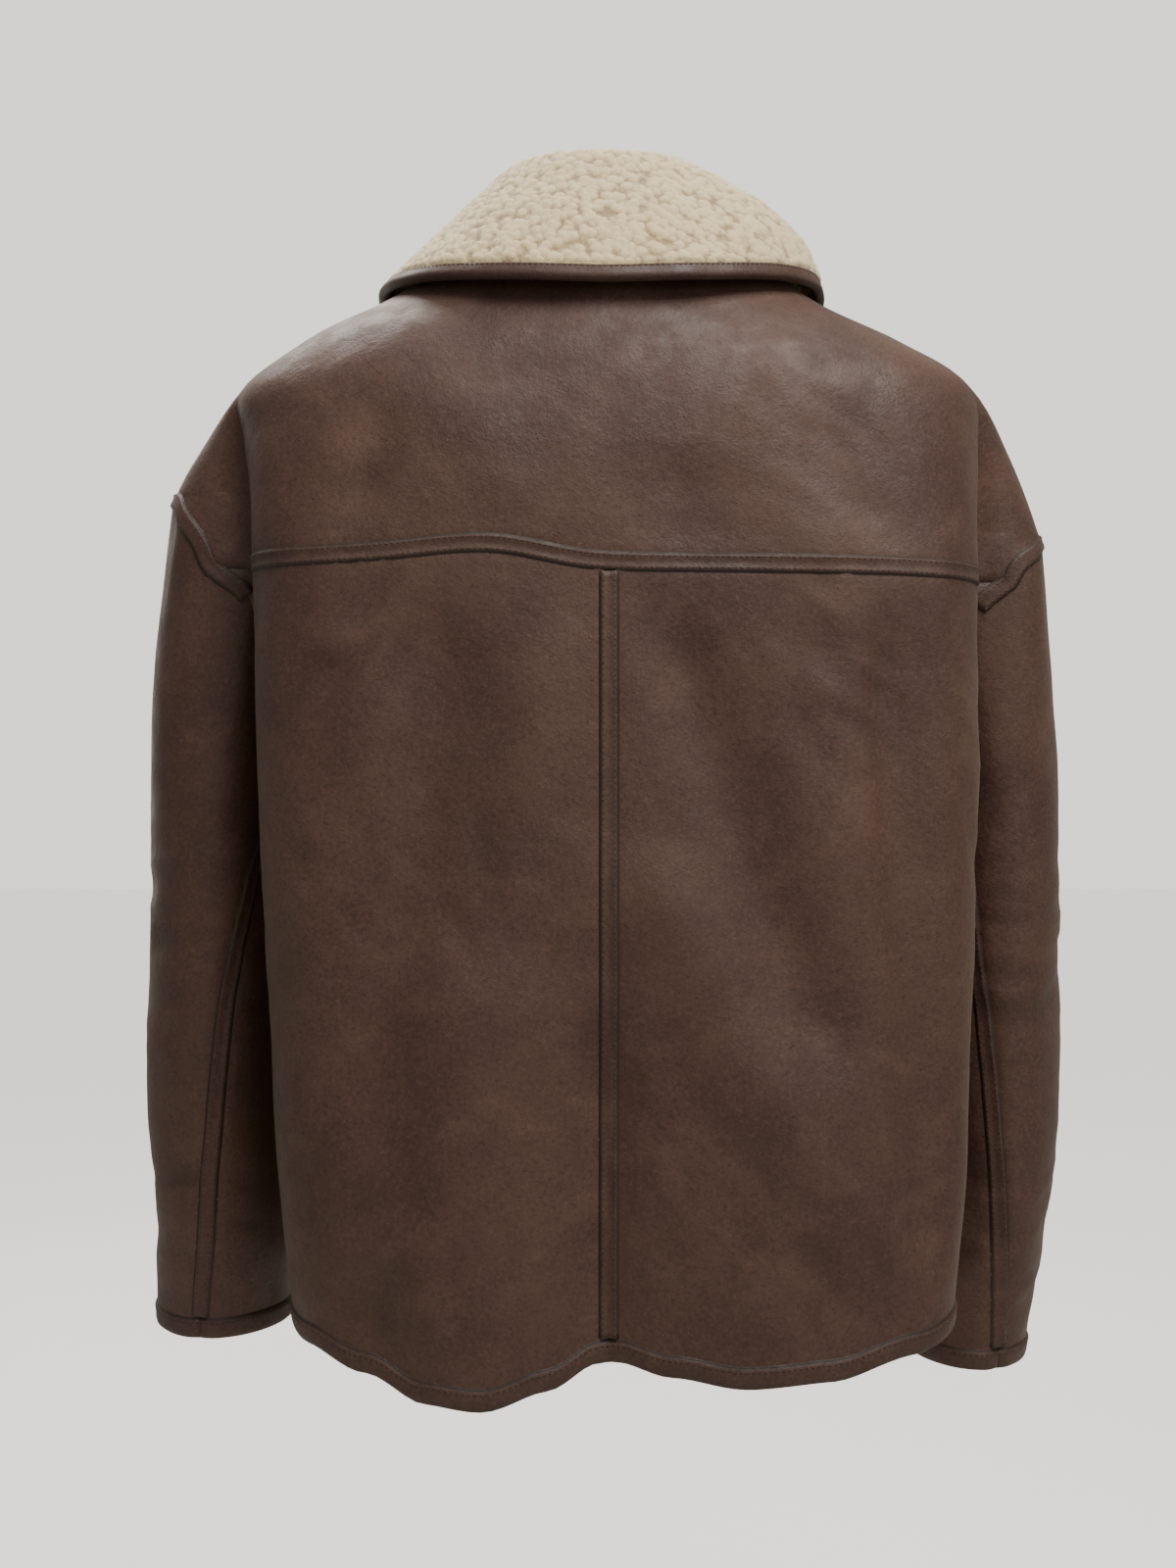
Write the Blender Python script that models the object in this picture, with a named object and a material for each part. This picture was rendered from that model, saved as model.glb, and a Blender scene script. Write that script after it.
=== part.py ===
"""Sherpa lined jacket: a boxy, dropped-shoulder jacket of bonded leather and pile cloth, hollow as it is worn.

Metres, +Z up, the front faces -Y and +X is the wearer's left. The origin is inside the neck at shoulder level.
Every cut panel is a wall bent onto one form: rings round the trunk, with a lobe at each side for the arm.
"""

import math
from collections import namedtuple

import bmesh
import bpy
from mathutils import Vector
from mathutils.bvhtree import BVHTree

# ---- Driving dimensions -------------------------------------------------------------------------------------------

CLOTH = 0.0045           # bonded leather and pile, pressed
COLLAR_CLOTH = 0.0066    # two layers with the pile outside
SEAM_GAP = 0.0006        # between neighbouring pieces, at the folds as well
STRIP_WIDE = 0.0100      # leather strip laid over a seam
STRIP_THICK = 0.0015
STRIP_LIFT = 0.0009      # under a strip, over the facets it lies on
STRIP_STEP = 0.018       # a strip has a section at least this often
ARMHOLE_LIFT = 0.0022    # under the armhole strips, which turn tightly
YOKE_STRIP_REACH = 0.75  # of the last step to the fold behind the arm, where the strip ends
BINDING_LEG = 0.0105     # reach of an edge binding onto the cloth, on each face
BINDING_THICK = 0.0013
BINDING_LIFT = 0.0005
TWIST_LIFT = 0.0014      # the same on the collar and cuffs, whose facets twist more
HEM_LIFT = 0.0020        # and at the hem, which turns tightly at the side folds
COLLAR_FOOT = 0.0012     # between the neck seam's facets and the collar
UNDERARM_CLEAR = 0.0012  # where the sleeve folds down beside the trunk
LAP_HALF = 0.020         # the fronts overlap this far on each side of the centre
LAP_RAMP = 0.030         # over this width the upper front rises onto the lower one
LAP_CLEAR = 0.0046       # between the two fronts
BUTTON_RADIUS = 0.0105
BUTTON_X = -0.0035       # their line, clear of the front edge's binding
BUTTON_THICK = 0.0036
BUTTON_COUNT = 5
BUTTON_TOP_Z = -0.115
BUTTON_STEP = 0.118

# ---- The form -----------------------------------------------------------------------------------------------------

Ring = namedtuple(
    "Ring",
    "back_z left_z right_z front_z left_w right_w left_reach right_reach back_y front_y square",
)
# One row for each section of the trunk, from the neck seam down. w is the half width of the trunk, reach is how far
# out the arm's lobe goes, and square is the exponent of the section: 2 is an ellipse and more is boxier.
RINGS = (
    Ring(0.008, 0.003, 0.003, -0.070, 0.085, 0.085, 0.085, 0.085, 0.078, 0.100, 2.0),
    Ring(-0.014, -0.010, -0.010, -0.082, 0.118, 0.113, 0.118, 0.113, 0.093, 0.108, 2.1),
    Ring(-0.043, -0.031, -0.031, -0.097, 0.152, 0.144, 0.152, 0.144, 0.105, 0.114, 2.2),
    Ring(-0.070, -0.056, -0.055, -0.110, 0.198, 0.191, 0.198, 0.191, 0.116, 0.118, 2.5),
    Ring(-0.097, -0.087, -0.085, -0.123, 0.233, 0.231, 0.233, 0.231, 0.123, 0.121, 3.0),
    Ring(-0.124, -0.116, -0.127, -0.136, 0.2270, 0.2310, 0.2570, 0.2590, 0.128, 0.124, 3.8),
    Ring(-0.153, -0.149, -0.176, -0.152, 0.2200, 0.2280, 0.2774, 0.2790, 0.131, 0.126, 4.6),
    Ring(-0.203, -0.197, -0.206, -0.203, 0.2170, 0.2265, 0.2930, 0.2870, 0.134, 0.129, 5.2),
    Ring(-0.259, -0.259, -0.267, -0.260, 0.2160, 0.2260, 0.2160, 0.2260, 0.136, 0.131, 5.4),
    Ring(-0.335, -0.335, -0.338, -0.335, 0.2130, 0.2255, 0.2130, 0.2255, 0.138, 0.131, 5.4),
    Ring(-0.450, -0.450, -0.450, -0.450, 0.2070, 0.2220, 0.2070, 0.2220, 0.141, 0.129, 5.4),
    Ring(-0.565, -0.562, -0.562, -0.565, 0.2000, 0.2185, 0.2000, 0.2185, 0.142, 0.126, 5.2),
    Ring(-0.660, -0.646, -0.646, -0.660, 0.1920, 0.2130, 0.1920, 0.2130, 0.140, 0.123, 5.0),
)
NECK, ARMHOLE_TOP, YOKE_SEAM, UNDERARM, HIP, HEM = 0, 6, 7, 8, 11, 12

LOBE_MIDDLE = -3.0       # degrees of plan angle, from straight sideways
LOBE_BACK = 17.0         # from its middle to the fold at the back
LOBE_FRONT = 17.5
LOBE_POWER = 2.5

Armhole = namedtuple("Armhole", "back front share")
# The armhole seam, a row for each step from its top at the shoulder to the underarm. back and front are places across
# the arm's lobe, where 1 and -1 are the folds behind and before it, and share is how much of the lobe stands there.
ARMHOLE = (
    Armhole(-0.10, -0.10, 1.0),
    Armhole(0.60, -0.68, 1.0),
    Armhole(0.80, -0.84, 1.0),
    Armhole(0.93, -0.93, 1.0),
    Armhole(0.965, -0.965, 1.0),
    Armhole(0.98, -0.98, 0.4),
    Armhole(0.80, -0.80, 0.0),
    Armhole(0.42, -0.50, 0.0),
    Armhole(-0.10, -0.10, 0.0),
)

# Height of the finished lower edge at each plan angle, from the left side round by the back.
HEM_LINE = (
    (-60, -0.661), (-30, -0.652), (0, -0.646), (24, -0.648), (34, -0.653), (44, -0.664), (54, -0.678), (64, -0.681),
    (76, -0.671), (87, -0.659), (93, -0.658), (104, -0.664), (118, -0.670), (132, -0.667), (144, -0.656),
    (156, -0.648), (180, -0.646), (210, -0.652), (240, -0.663), (270, -0.659), (300, -0.661),
)

YOKE_RISE = 0.0095       # the yoke seam climbs this much left of the centre
YOKE_RISE_DEG = 62.0
YOKE_RISE_WIDE = 17.0

Fold = namedtuple("Fold", "top_z low_z top_deg low_deg wide height")
# Soft ridges (+) and troughs (-) that run down the cloth, by plan angle: 0 left side, 90 centre back, 180 right side.
FOLDS = (
    Fold(-0.085, -0.200, 41, 40, 0.018, -0.0050),
    Fold(-0.080, -0.200, 61, 68, 0.026, 0.0030),
    Fold(-0.090, -0.215, 135, 145, 0.019, -0.0060),
    Fold(-0.130, -0.215, 112, 115, 0.032, -0.0035),
    Fold(-0.205, -0.560, 54, 46, 0.022, -0.0070),
    Fold(-0.215, -0.450, 73, 70, 0.030, 0.0040),
    Fold(-0.400, -0.900, 61, 61, 0.040, 0.0110),
    Fold(-0.450, -0.900, 89, 89, 0.020, -0.0090),
    Fold(-0.450, -0.900, 120, 118, 0.045, 0.0060),
    Fold(-0.350, -0.640, 96, 143, 0.026, 0.0060),
    Fold(-0.210, -0.520, 103, 137, 0.021, -0.0065),
    Fold(-0.215, -0.640, 141, 146, 0.015, -0.0095),
    Fold(-0.185, -0.900, -6, -6, 0.062, -0.0190),
    Fold(-0.185, -0.900, 186, 186, 0.062, -0.0310),
    Fold(-0.160, -0.520, -46, -52, 0.022, -0.0070),
    Fold(-0.150, -0.480, 229, 236, 0.020, -0.0060),
    Fold(-0.380, -0.900, -66, -66, 0.035, 0.0060),
    Fold(-0.420, -0.900, 218, 222, 0.035, 0.0070),
)

FOLD_FADE = 0.062        # a fold fades in and out over at most this

Arm = namedtuple("Arm", "z x y wide deep seam_deg")
# The sleeve's tube: its centre, half sizes and where its seam lies, from the armhole to the cuff. A seam at 180 faces
# the trunk, and at 90 it faces back.
ARM_LEFT = (
    Arm(-0.140, 0.2360, -0.015, 0.0420, 0.072, 180),
    Arm(-0.259, 0.2520, -0.018, 0.0430, 0.070, 178),
    Arm(-0.350, 0.2533, -0.018, 0.0446, 0.069, 146),
    Arm(-0.450, 0.2545, -0.019, 0.0453, 0.066, 116),
    Arm(-0.550, 0.2550, -0.022, 0.0451, 0.062, 101),
    Arm(-0.620, 0.2542, -0.026, 0.0440, 0.059, 92),
    Arm(-0.679, 0.2530, -0.030, 0.0436, 0.057, 83),
)
ARM_RIGHT = (
    Arm(-0.140, 0.2380, -0.015, 0.0420, 0.072, 180),
    Arm(-0.267, 0.2490, -0.018, 0.0405, 0.070, 178),
    Arm(-0.350, 0.2500, -0.018, 0.0432, 0.069, 134),
    Arm(-0.440, 0.2535, -0.019, 0.0440, 0.066, 121),
    Arm(-0.540, 0.2535, -0.022, 0.0432, 0.062, 106),
    Arm(-0.630, 0.2460, -0.027, 0.0412, 0.058, 88),
    Arm(-0.700, 0.2380, -0.031, 0.0385, 0.055, 74),
)
SLEEVE_EASE = 0.13       # below the armhole the sleeve takes this long to become its tube

Dent = namedtuple("Dent", "side z deg tall wide height")
# Soft dents (-) and swells (+) of the sleeves, by place along and round the tube.
DENTS = (
    Dent(1, -0.300, 60, 0.050, 24, 0.0030),
    Dent(1, -0.400, 35, 0.060, 30, -0.0035),
    Dent(1, -0.560, 75, 0.050, 30, 0.0030),
    Dent(1, -0.600, 10, 0.035, 30, -0.0030),
    Dent(1, -0.440, 250, 0.060, 40, -0.0050),
    Dent(-1, -0.320, 50, 0.060, 26, 0.0030),
    Dent(-1, -0.470, 40, 0.060, 35, -0.0035),
    Dent(-1, -0.590, 80, 0.050, 30, 0.0025),
    Dent(-1, -0.430, 260, 0.060, 40, -0.0050),
)

Collar = namedtuple("Collar", "base_deg roll_deg roll_r roll_z edge_deg edge_r edge_z puff")
# Sections of the collar from the centre back to its front end: where it stands on the neck seam, the top of its roll,
# the lower edge of its fall and how far the fall swells. r is the distance from the neck's axis.
COLLAR_LEFT = (
    Collar(90, 90, 0.052, 0.0575, 90, 0.1145, -0.0345, 0.003),
    Collar(60, 60, 0.055, 0.0570, 61, 0.1225, -0.0310, 0.003),
    Collar(30, 30, 0.061, 0.0560, 32, 0.1360, -0.0230, 0.001),
    Collar(0, 0, 0.0665, 0.0530, 4, 0.1440, -0.0160, 0.000),
    Collar(-30, -30, 0.074, 0.0440, -22, 0.1500, -0.0230, 0.008),
    Collar(-56, -54, 0.088, 0.0220, -42, 0.1580, -0.0530, 0.011),
    Collar(-77, -76, 0.104, -0.0310, -60, 0.1580, -0.1140, 0.006),
)
COLLAR_RIGHT = (
    COLLAR_LEFT[0],
    Collar(60, 60, 0.055, 0.0570, 61, 0.1215, -0.0310, 0.005),
    Collar(30, 30, 0.061, 0.0565, 32, 0.1325, -0.0220, 0.009),
    Collar(0, 0, 0.066, 0.0535, 4, 0.1370, -0.0150, 0.010),
    Collar(-30, -30, 0.074, 0.0440, -22, 0.1480, -0.0230, 0.010),
    Collar(-56, -54, 0.089, 0.0220, -42, 0.1590, -0.0530, 0.011),
    Collar(-88, -87, 0.113, -0.0300, -68, 0.1600, -0.1140, 0.006),
)
COLLAR_ROLL_IN = (-0.0020, -0.0130)   # from the top of the roll to its inner shoulder: outward, up
COLLAR_ROLL_OUT = (0.0095, -0.0060)   # and to its outer shoulder

# ---- Grids --------------------------------------------------------------------------------------------------------

BACK_DEGREES = (90, 76, 62, 49, 38, 29, 21, 14)
FRONT_DEGREES = (-20.5, -28, -37, -48, -61, -74)
YOKE_LOBE_STEPS = (0.04, 0.16, 0.40, 0.70, 1.0)
FRONT_LOBE_STEPS = (0.06, 0.30, 0.65, 1.0)
ARMHOLE_STEPS = len(ARMHOLE) - 1
ROWS_TO_SHOULDER = (0, 1, 2, 3.2, 4.4, 5.3)
ROWS_TO_HEM = (8.45, 9.0, 9.5, 10.0, 10.5, 11.0, 11.5, 12.0)
SLEEVE_ROWS = (0, 0.035, 0.09, 0.17, 0.28, 0.40, 0.54, 0.69, 0.84, 1.0)
COLLAR_STATIONS = 10     # on each side of the centre back
BUTTON_SIDES = 14

LEATHER = ("leather_face", (0.105, 0.062, 0.045, 1.0), 0.62)
BINDING = ("leather_binding", (0.075, 0.042, 0.030, 1.0), 0.55)
PILE = ("sherpa_pile", (0.72, 0.61, 0.43, 1.0), 0.95)
HORN = ("button_horn", (0.060, 0.036, 0.024, 1.0), 0.35)


# ---- Small helpers ------------------------------------------------------------------------------------------------


def through(rows, place):
    """The table's values at a fractional row, on a smooth curve through its rows."""
    at = min(max(place, 0.0), len(rows) - 1.0)
    low = min(int(at), len(rows) - 2)
    part = at - low
    before, start, end, after = (rows[min(max(low + step, 0), len(rows) - 1)] for step in (-1, 0, 1, 2))
    values = []
    for a, b, c, d in zip(before, start, end, after):
        values.append(
            b + 0.5 * part * (c - a + part * (2 * a - 5 * b + 4 * c - d + part * (3 * (b - c) + d - a)))
        )
    return type(rows[0])(*values)


def between(pairs, place):
    """The height at a place on a line of (place, height) pairs, eased from each pair to the next."""
    for (low, first), (high, last) in zip(pairs, pairs[1:]):
        if place <= high:
            part = min(max((place - low) / (high - low), 0.0), 1.0)
            return first + (last - first) * part * part * (3 - 2 * part)
    return pairs[-1][1]


def ease(part):
    """0 to 1, level at both ends."""
    part = min(max(part, 0.0), 1.0)
    return part * part * (3 - 2 * part)


def row_of(rows, height):
    """The fractional row of an arm table at a height."""
    for low in range(len(rows) - 1):
        if height >= rows[low + 1].z:
            return low + (rows[low].z - height) / (rows[low].z - rows[low + 1].z)
    return len(rows) - 1.0


# ---- The trunk ----------------------------------------------------------------------------------------------------


def armhole_row(place):
    """Where a ring lies down the armhole: 0 at its top and ARMHOLE_STEPS at the underarm."""
    part = min(max((place - ARMHOLE_TOP) / (UNDERARM - ARMHOLE_TOP), 0.0), 1.0)
    return ARMHOLE_STEPS * math.acos(1 - 2 * part) / math.pi


def armhole_place(step):
    """The ring at a step down the armhole, closer together at its top and bottom where the seam turns."""
    return ARMHOLE_TOP + (UNDERARM - ARMHOLE_TOP) * (1 - math.cos(math.pi * step / ARMHOLE_STEPS)) / 2


def armhole_at(place):
    """The armhole's row at a ring, in straight steps."""
    row = armhole_row(place)
    low = min(int(row), ARMHOLE_STEPS - 1)
    part = row - low
    return Armhole(*(a + (b - a) * part for a, b in zip(ARMHOLE[low], ARMHOLE[low + 1])))


def lobe_place(degrees):
    """Across the arm's lobe on the side that this plan angle is on: 1 at the fold behind it, -1 at the one before."""
    side = degrees if -90 <= degrees <= 90 else 180 - degrees
    away = side - LOBE_MIDDLE
    return away / (LOBE_BACK if away > 0 else LOBE_FRONT)


def lobe_degrees(across):
    """The plan angle on the left side of a place across the lobe."""
    return LOBE_MIDDLE + across * (LOBE_BACK if across > 0 else LOBE_FRONT)


def fold_height(degrees, height, radius):
    """How far the folds move the cloth out at a plan angle and height."""
    total = 0.0
    for fold in FOLDS:
        tall = fold.top_z - fold.low_z
        part = (fold.top_z - height) / tall
        if not 0 < part < 1:
            continue
        fade = min(FOLD_FADE, tall / 2.5) / tall
        middle = fold.top_deg + (fold.low_deg - fold.top_deg) * part
        away = (degrees - middle + 180) % 360 - 180
        across = math.radians(away) * radius / fold.wide
        total += fold.height * math.exp(-across * across) * ease(part / fade) * ease((1 - part) / fade)
    return total


def trunk(degrees, place):
    """The point of the cloth's face at a plan angle (-90 to 270) and ring."""
    ring = through(RINGS, place)
    angle = math.radians(degrees)
    along, across = math.cos(angle), math.sin(angle)
    left = along >= 0
    wide = ring.left_w if left else ring.right_w
    deep = ring.back_y if across >= 0 else ring.front_y
    radius = (abs(along / wide) ** ring.square + abs(across / deep) ** ring.square) ** (-1 / ring.square)
    out = lobe_place(degrees)
    reach = (ring.left_reach if left else ring.right_reach) - wide
    if abs(out) < 1 and reach > 0:
        radius += reach * (1 - abs(out) ** LOBE_POWER) ** (1 / LOBE_POWER) * armhole_at(place).share
    end_z = ring.back_z if across >= 0 else ring.front_z
    side_z = ring.left_z if left else ring.right_z
    height = side_z + (end_z - side_z) * across * across
    low = ease((place - (HIP - 1)) / (HEM - HIP + 1))
    flat_hem = between(HEM_LINE, degrees if degrees >= -60 else degrees + 360)
    ring_hem = RINGS[HEM].left_z + (RINGS[HEM].back_z - RINGS[HEM].left_z) * across * across
    height += low * (flat_hem - ring_hem)
    rise = (degrees - YOKE_RISE_DEG) / YOKE_RISE_WIDE
    height += YOKE_RISE * math.exp(-rise * rise) * math.exp(-((place - YOKE_SEAM) / 0.9) ** 2)
    radius += fold_height(degrees, height, radius)
    return Vector((radius * along, radius * across, height))


def lap_rise(sideways):
    """How far the right front stands off the form where it laps over the left one."""
    return (CLOTH + LAP_CLEAR) * ease((sideways + LAP_HALF + LAP_RAMP) / LAP_RAMP)


def trunk_normal(degrees, place):
    """The direction out of the cloth's face."""
    turn, drop = 0.6, 0.03
    round_it = trunk(degrees + turn, place) - trunk(degrees - turn, place)
    down_it = trunk(degrees, min(place + drop, HEM)) - trunk(degrees, max(place - drop, NECK))
    return down_it.cross(round_it).normalized()


def trunk_spot(degrees, place, lapped=False):
    """(face point, direction out), with the right front's rise where lapped."""
    point, out = trunk(degrees, place), trunk_normal(degrees, place)
    if lapped:
        point = point + out * lap_rise(point.x)
    return point, out


# ---- Pieces as walls ----------------------------------------------------------------------------------------------


def material(kind):
    """The material of one kind, made once."""
    name, colour, roughness = kind
    made = bpy.data.materials.get(name)
    if made is None:
        made = bpy.data.materials.new(name)
        made.use_nodes = True
        shader = made.node_tree.nodes["Principled BSDF"]
        shader.inputs["Base Color"].default_value = colour
        shader.inputs["Roughness"].default_value = roughness
        shader.inputs["Metallic"].default_value = 0.0
    return made


def add_object(name, mesh, kind, collection):
    """An object of a finished bmesh in triangles, with its faces turned out."""
    bmesh.ops.triangulate(mesh, faces=mesh.faces[:], quad_method="SHORT_EDGE")
    bmesh.ops.recalc_face_normals(mesh, faces=mesh.faces[:])
    if mesh.calc_volume(signed=True) < 0:
        bmesh.ops.reverse_faces(mesh, faces=mesh.faces[:])
    data = bpy.data.meshes.new(name)
    mesh.to_mesh(data)
    mesh.free()
    data.materials.append(material(kind))
    made = bpy.data.objects.new(name, data)
    collection.objects.link(made)
    return made


def wall(name, face, back, kind, collection):
    """One closed body between two skins of points, each a list of columns of equal length."""
    columns, rows = len(face), len(face[0])
    mesh = bmesh.new()
    bmesh.ops.create_grid(mesh, x_segments=columns - 1, y_segments=rows - 1, size=1)
    copied = bmesh.ops.extrude_face_region(mesh, geom=mesh.faces[:], use_keep_orig=True)
    raised = {item for item in copied["geom"] if isinstance(item, bmesh.types.BMVert)}
    for vert in mesh.verts:
        column = round((vert.co.x + 1) / 2 * (columns - 1))
        row = round((vert.co.y + 1) / 2 * (rows - 1))
        vert.co = (back if vert in raised else face)[column][row]
    return add_object(name, mesh, kind, collection)


def trimmed(grid, edges):
    """A grid of (point, out) drawn back by half a seam gap along the named edges."""
    moved = [[list(spot) for spot in column] for column in grid]
    last_column, last_row = len(grid) - 1, len(grid[0]) - 1
    for column, spots in enumerate(grid):
        for row, (point, _) in enumerate(spots):
            steps = []
            if column == 0 and "first" in edges:
                steps.append((1, row))
            if column == last_column and "last" in edges:
                steps.append((column - 1, row))
            if row == 0 and "top" in edges:
                steps.append((column, 1))
            if row == last_row and "low" in edges:
                steps.append((column, row - 1))
            for other_column, other_row in steps:
                inward = grid[other_column][other_row][0] - point
                moved[column][row][0] = moved[column][row][0] + inward.normalized() * SEAM_GAP / 2
    return moved


def panel(name, grid, kind, collection, thick=CLOTH):
    """A wall of even thickness from a grid of (point, out). Returns its two skins."""
    face = [[point for point, _ in column] for column in grid]
    back = [[point - out * thick for point, out in column] for column in grid]
    wall(name, face, back, kind, collection)
    return face, back


def cloth_tree(names):
    """A tree of the facets of some finished pieces, for laying strips on them."""
    points, faces = [], []
    for name in names:
        mesh = bpy.data.objects[name].data
        start = len(points)
        points.extend(vert.co.copy() for vert in mesh.vertices)
        faces.extend([start + corner for corner in face.vertices] for face in mesh.polygons)
    return BVHTree.FromPolygons(points, faces)


def divided(path):
    """The path with points put in where its steps are long."""
    finer = [path[0]]
    for (start, start_out), (end, end_out) in zip(path, path[1:]):
        steps = max(1, round((end - start).length / STRIP_STEP))
        for step in range(1, steps + 1):
            part = step / steps
            finer.append((start.lerp(end, part), start_out.lerp(end_out, part).normalized()))
    return finer


def height_over(tree, spot, out):
    """How high the cloth stands over a spot, along the direction out."""
    found = tree.ray_cast(spot + out * STRIP_WIDE, -out, STRIP_WIDE * 2)[0]
    return (found - spot).dot(out) if found else 0.0


def strip(name, path, tree, collection, gap=STRIP_LIFT, start=0, end=None):
    """A leather strip laid along a path of (point, out) on the cloth."""
    path = divided(path[start:end])
    under, over = [], []
    for place, (point, out) in enumerate(path):
        ahead = path[min(place + 1, len(path) - 1)][0] - path[max(place - 1, 0)][0]
        sideways = ahead.cross(out).normalized()
        low, high = [], []
        for share in (-1.0, 0.0, 1.0):
            spot = point + sideways * share * STRIP_WIDE / 2
            lift = max(height_over(tree, spot + sideways * nudge, out) for nudge in (-SEAM_GAP * 2, SEAM_GAP * 2))
            low.append(spot + out * (lift + gap))
            crown = STRIP_THICK if share == 0 else STRIP_THICK * 0.8
            high.append(spot - sideways * share * STRIP_THICK / 2 + out * (lift + gap + crown))
        under.append(low)
        over.append(high)
    wall(name, over, under, BINDING, collection)


def binding(name, face, back, inner_face, inner_back, collection, gap=BINDING_LIFT):
    """A leather binding folded over an edge. face and back are the edge's points on each skin, and inner_face and
    inner_back the points behind them, which give the directions of its legs."""
    near, far = [], []
    for on_face, on_back, face_in, back_in in zip(face, back, inner_face, inner_back):
        out = (on_face - on_back).normalized()
        along_face = (face_in - on_face).normalized()
        along_back = (back_in - on_back).normalized()
        for line, lift in ((near, gap), (far, gap + BINDING_THICK)):
            line.append(
                [
                    on_back + along_back * BINDING_LEG - out * lift,
                    on_back - along_back * lift - out * lift * 0.8,
                    on_face - along_face * lift + out * lift * 0.8,
                    on_face + along_face * BINDING_LEG + out * lift,
                ]
            )
    wall(name, far, near, BINDING, collection)


# ---- The cut panels -----------------------------------------------------------------------------------------------


def rows_between(first, last):
    """The rings of a panel's rows between two places, the armhole's steps among them."""
    places = list(ROWS_TO_SHOULDER)
    places += [armhole_place(step) for step in range(ARMHOLE_STEPS + 1)]
    places += list(ROWS_TO_HEM)
    return [place for place in places if first - 1e-6 <= place <= last + 1e-6]


def edge_across(place, back):
    """Where a panel ends across the lobe at a ring: the shoulder seam, then the armhole, then the side seam."""
    row = armhole_at(place)
    return row.back if back else row.front


def back_columns(place):
    """Plan angles of the back's columns at a ring, from the centre to the left edge."""
    edge = edge_across(place, True)
    return list(BACK_DEGREES) + [lobe_degrees(1 - (1 - edge) * step) for step in YOKE_LOBE_STEPS]


def front_columns(place):
    """Plan angles of a front's columns at a ring, from the side to the front edge, as on the left side."""
    edge = edge_across(place, False)
    lobe = [lobe_degrees(-1 + (1 + edge) * step) for step in reversed(FRONT_LOBE_STEPS)]
    lap = math.degrees(math.asin(LAP_HALF / -trunk(-90, place).y))
    return lobe + list(FRONT_DEGREES) + [-90 + lap, -90 - lap]


def other_side(degrees):
    """The same plan angle on the right side."""
    return 180 - degrees


def half_grid(places, columns_at, right, lapped=False):
    """A grid of (point, out) for one half of the jacket, a column for each plan angle."""
    grid = []
    for column in range(len(columns_at(places[0]))):
        spots = []
        for place in places:
            degrees = columns_at(place)[column]
            spots.append(trunk_spot(other_side(degrees) if right else degrees, place, lapped))
        grid.append(spots)
    return grid


def build_back(collection):
    """The yoke and the two lower backs. Returns their grids."""
    rows = rows_between(NECK, YOKE_SEAM)
    left = half_grid(rows, back_columns, False)
    right = half_grid(rows, back_columns, True)
    yoke = list(reversed(left))[:-1] + right
    low_rows = rows_between(YOKE_SEAM, HEM)
    low_left = half_grid(low_rows, back_columns, False)
    low_right = half_grid(low_rows, back_columns, True)
    skins = {
        "yoke": panel("back_yoke", trimmed(yoke, ("first", "last", "low")), LEATHER, collection),
        "left": panel("back_left", trimmed(low_left, ("first", "last", "top")), LEATHER, collection),
        "right": panel("back_right", trimmed(low_right, ("first", "last", "top")), LEATHER, collection),
    }
    return {"yoke": yoke, "left": low_left, "right": low_right}, skins


def build_fronts(collection):
    """The two fronts, the right one lapped over the left. Returns their grids and skins."""
    rows = rows_between(NECK, HEM)
    grids, skins = {}, {}
    for name, right in (("left", False), ("right", True)):
        grid = half_grid(rows, front_columns, right, lapped=right)
        grids[name] = grid
        skins[name] = panel("front_" + name, trimmed(grid, ("first",)), LEATHER, collection)
    return grids, skins


# ---- The sleeves --------------------------------------------------------------------------------------------------


def armhole_loop(right):
    """The armhole seam as (point, out) from the underarm up the front and down the back."""
    steps = [(step, False) for step in range(ARMHOLE_STEPS, 0, -1)] + [(0, True)]
    steps += [(step, True) for step in range(1, ARMHOLE_STEPS + 1)]
    loop = []
    for step, back in steps:
        place = armhole_place(step)
        degrees = lobe_degrees(edge_across(place, back))
        loop.append(trunk_spot(other_side(degrees) if right else degrees, place))
    return loop


def dent_height(side, height, degrees):
    """How far the sleeve's dents and swells move it out."""
    total = 0.0
    for dent in DENTS:
        if dent.side != side:
            continue
        away = ((degrees - dent.deg + 180) % 360 - 180) / dent.wide
        along = (height - dent.z) / dent.tall
        total += dent.height * math.exp(-away * away - along * along)
    return total


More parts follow.
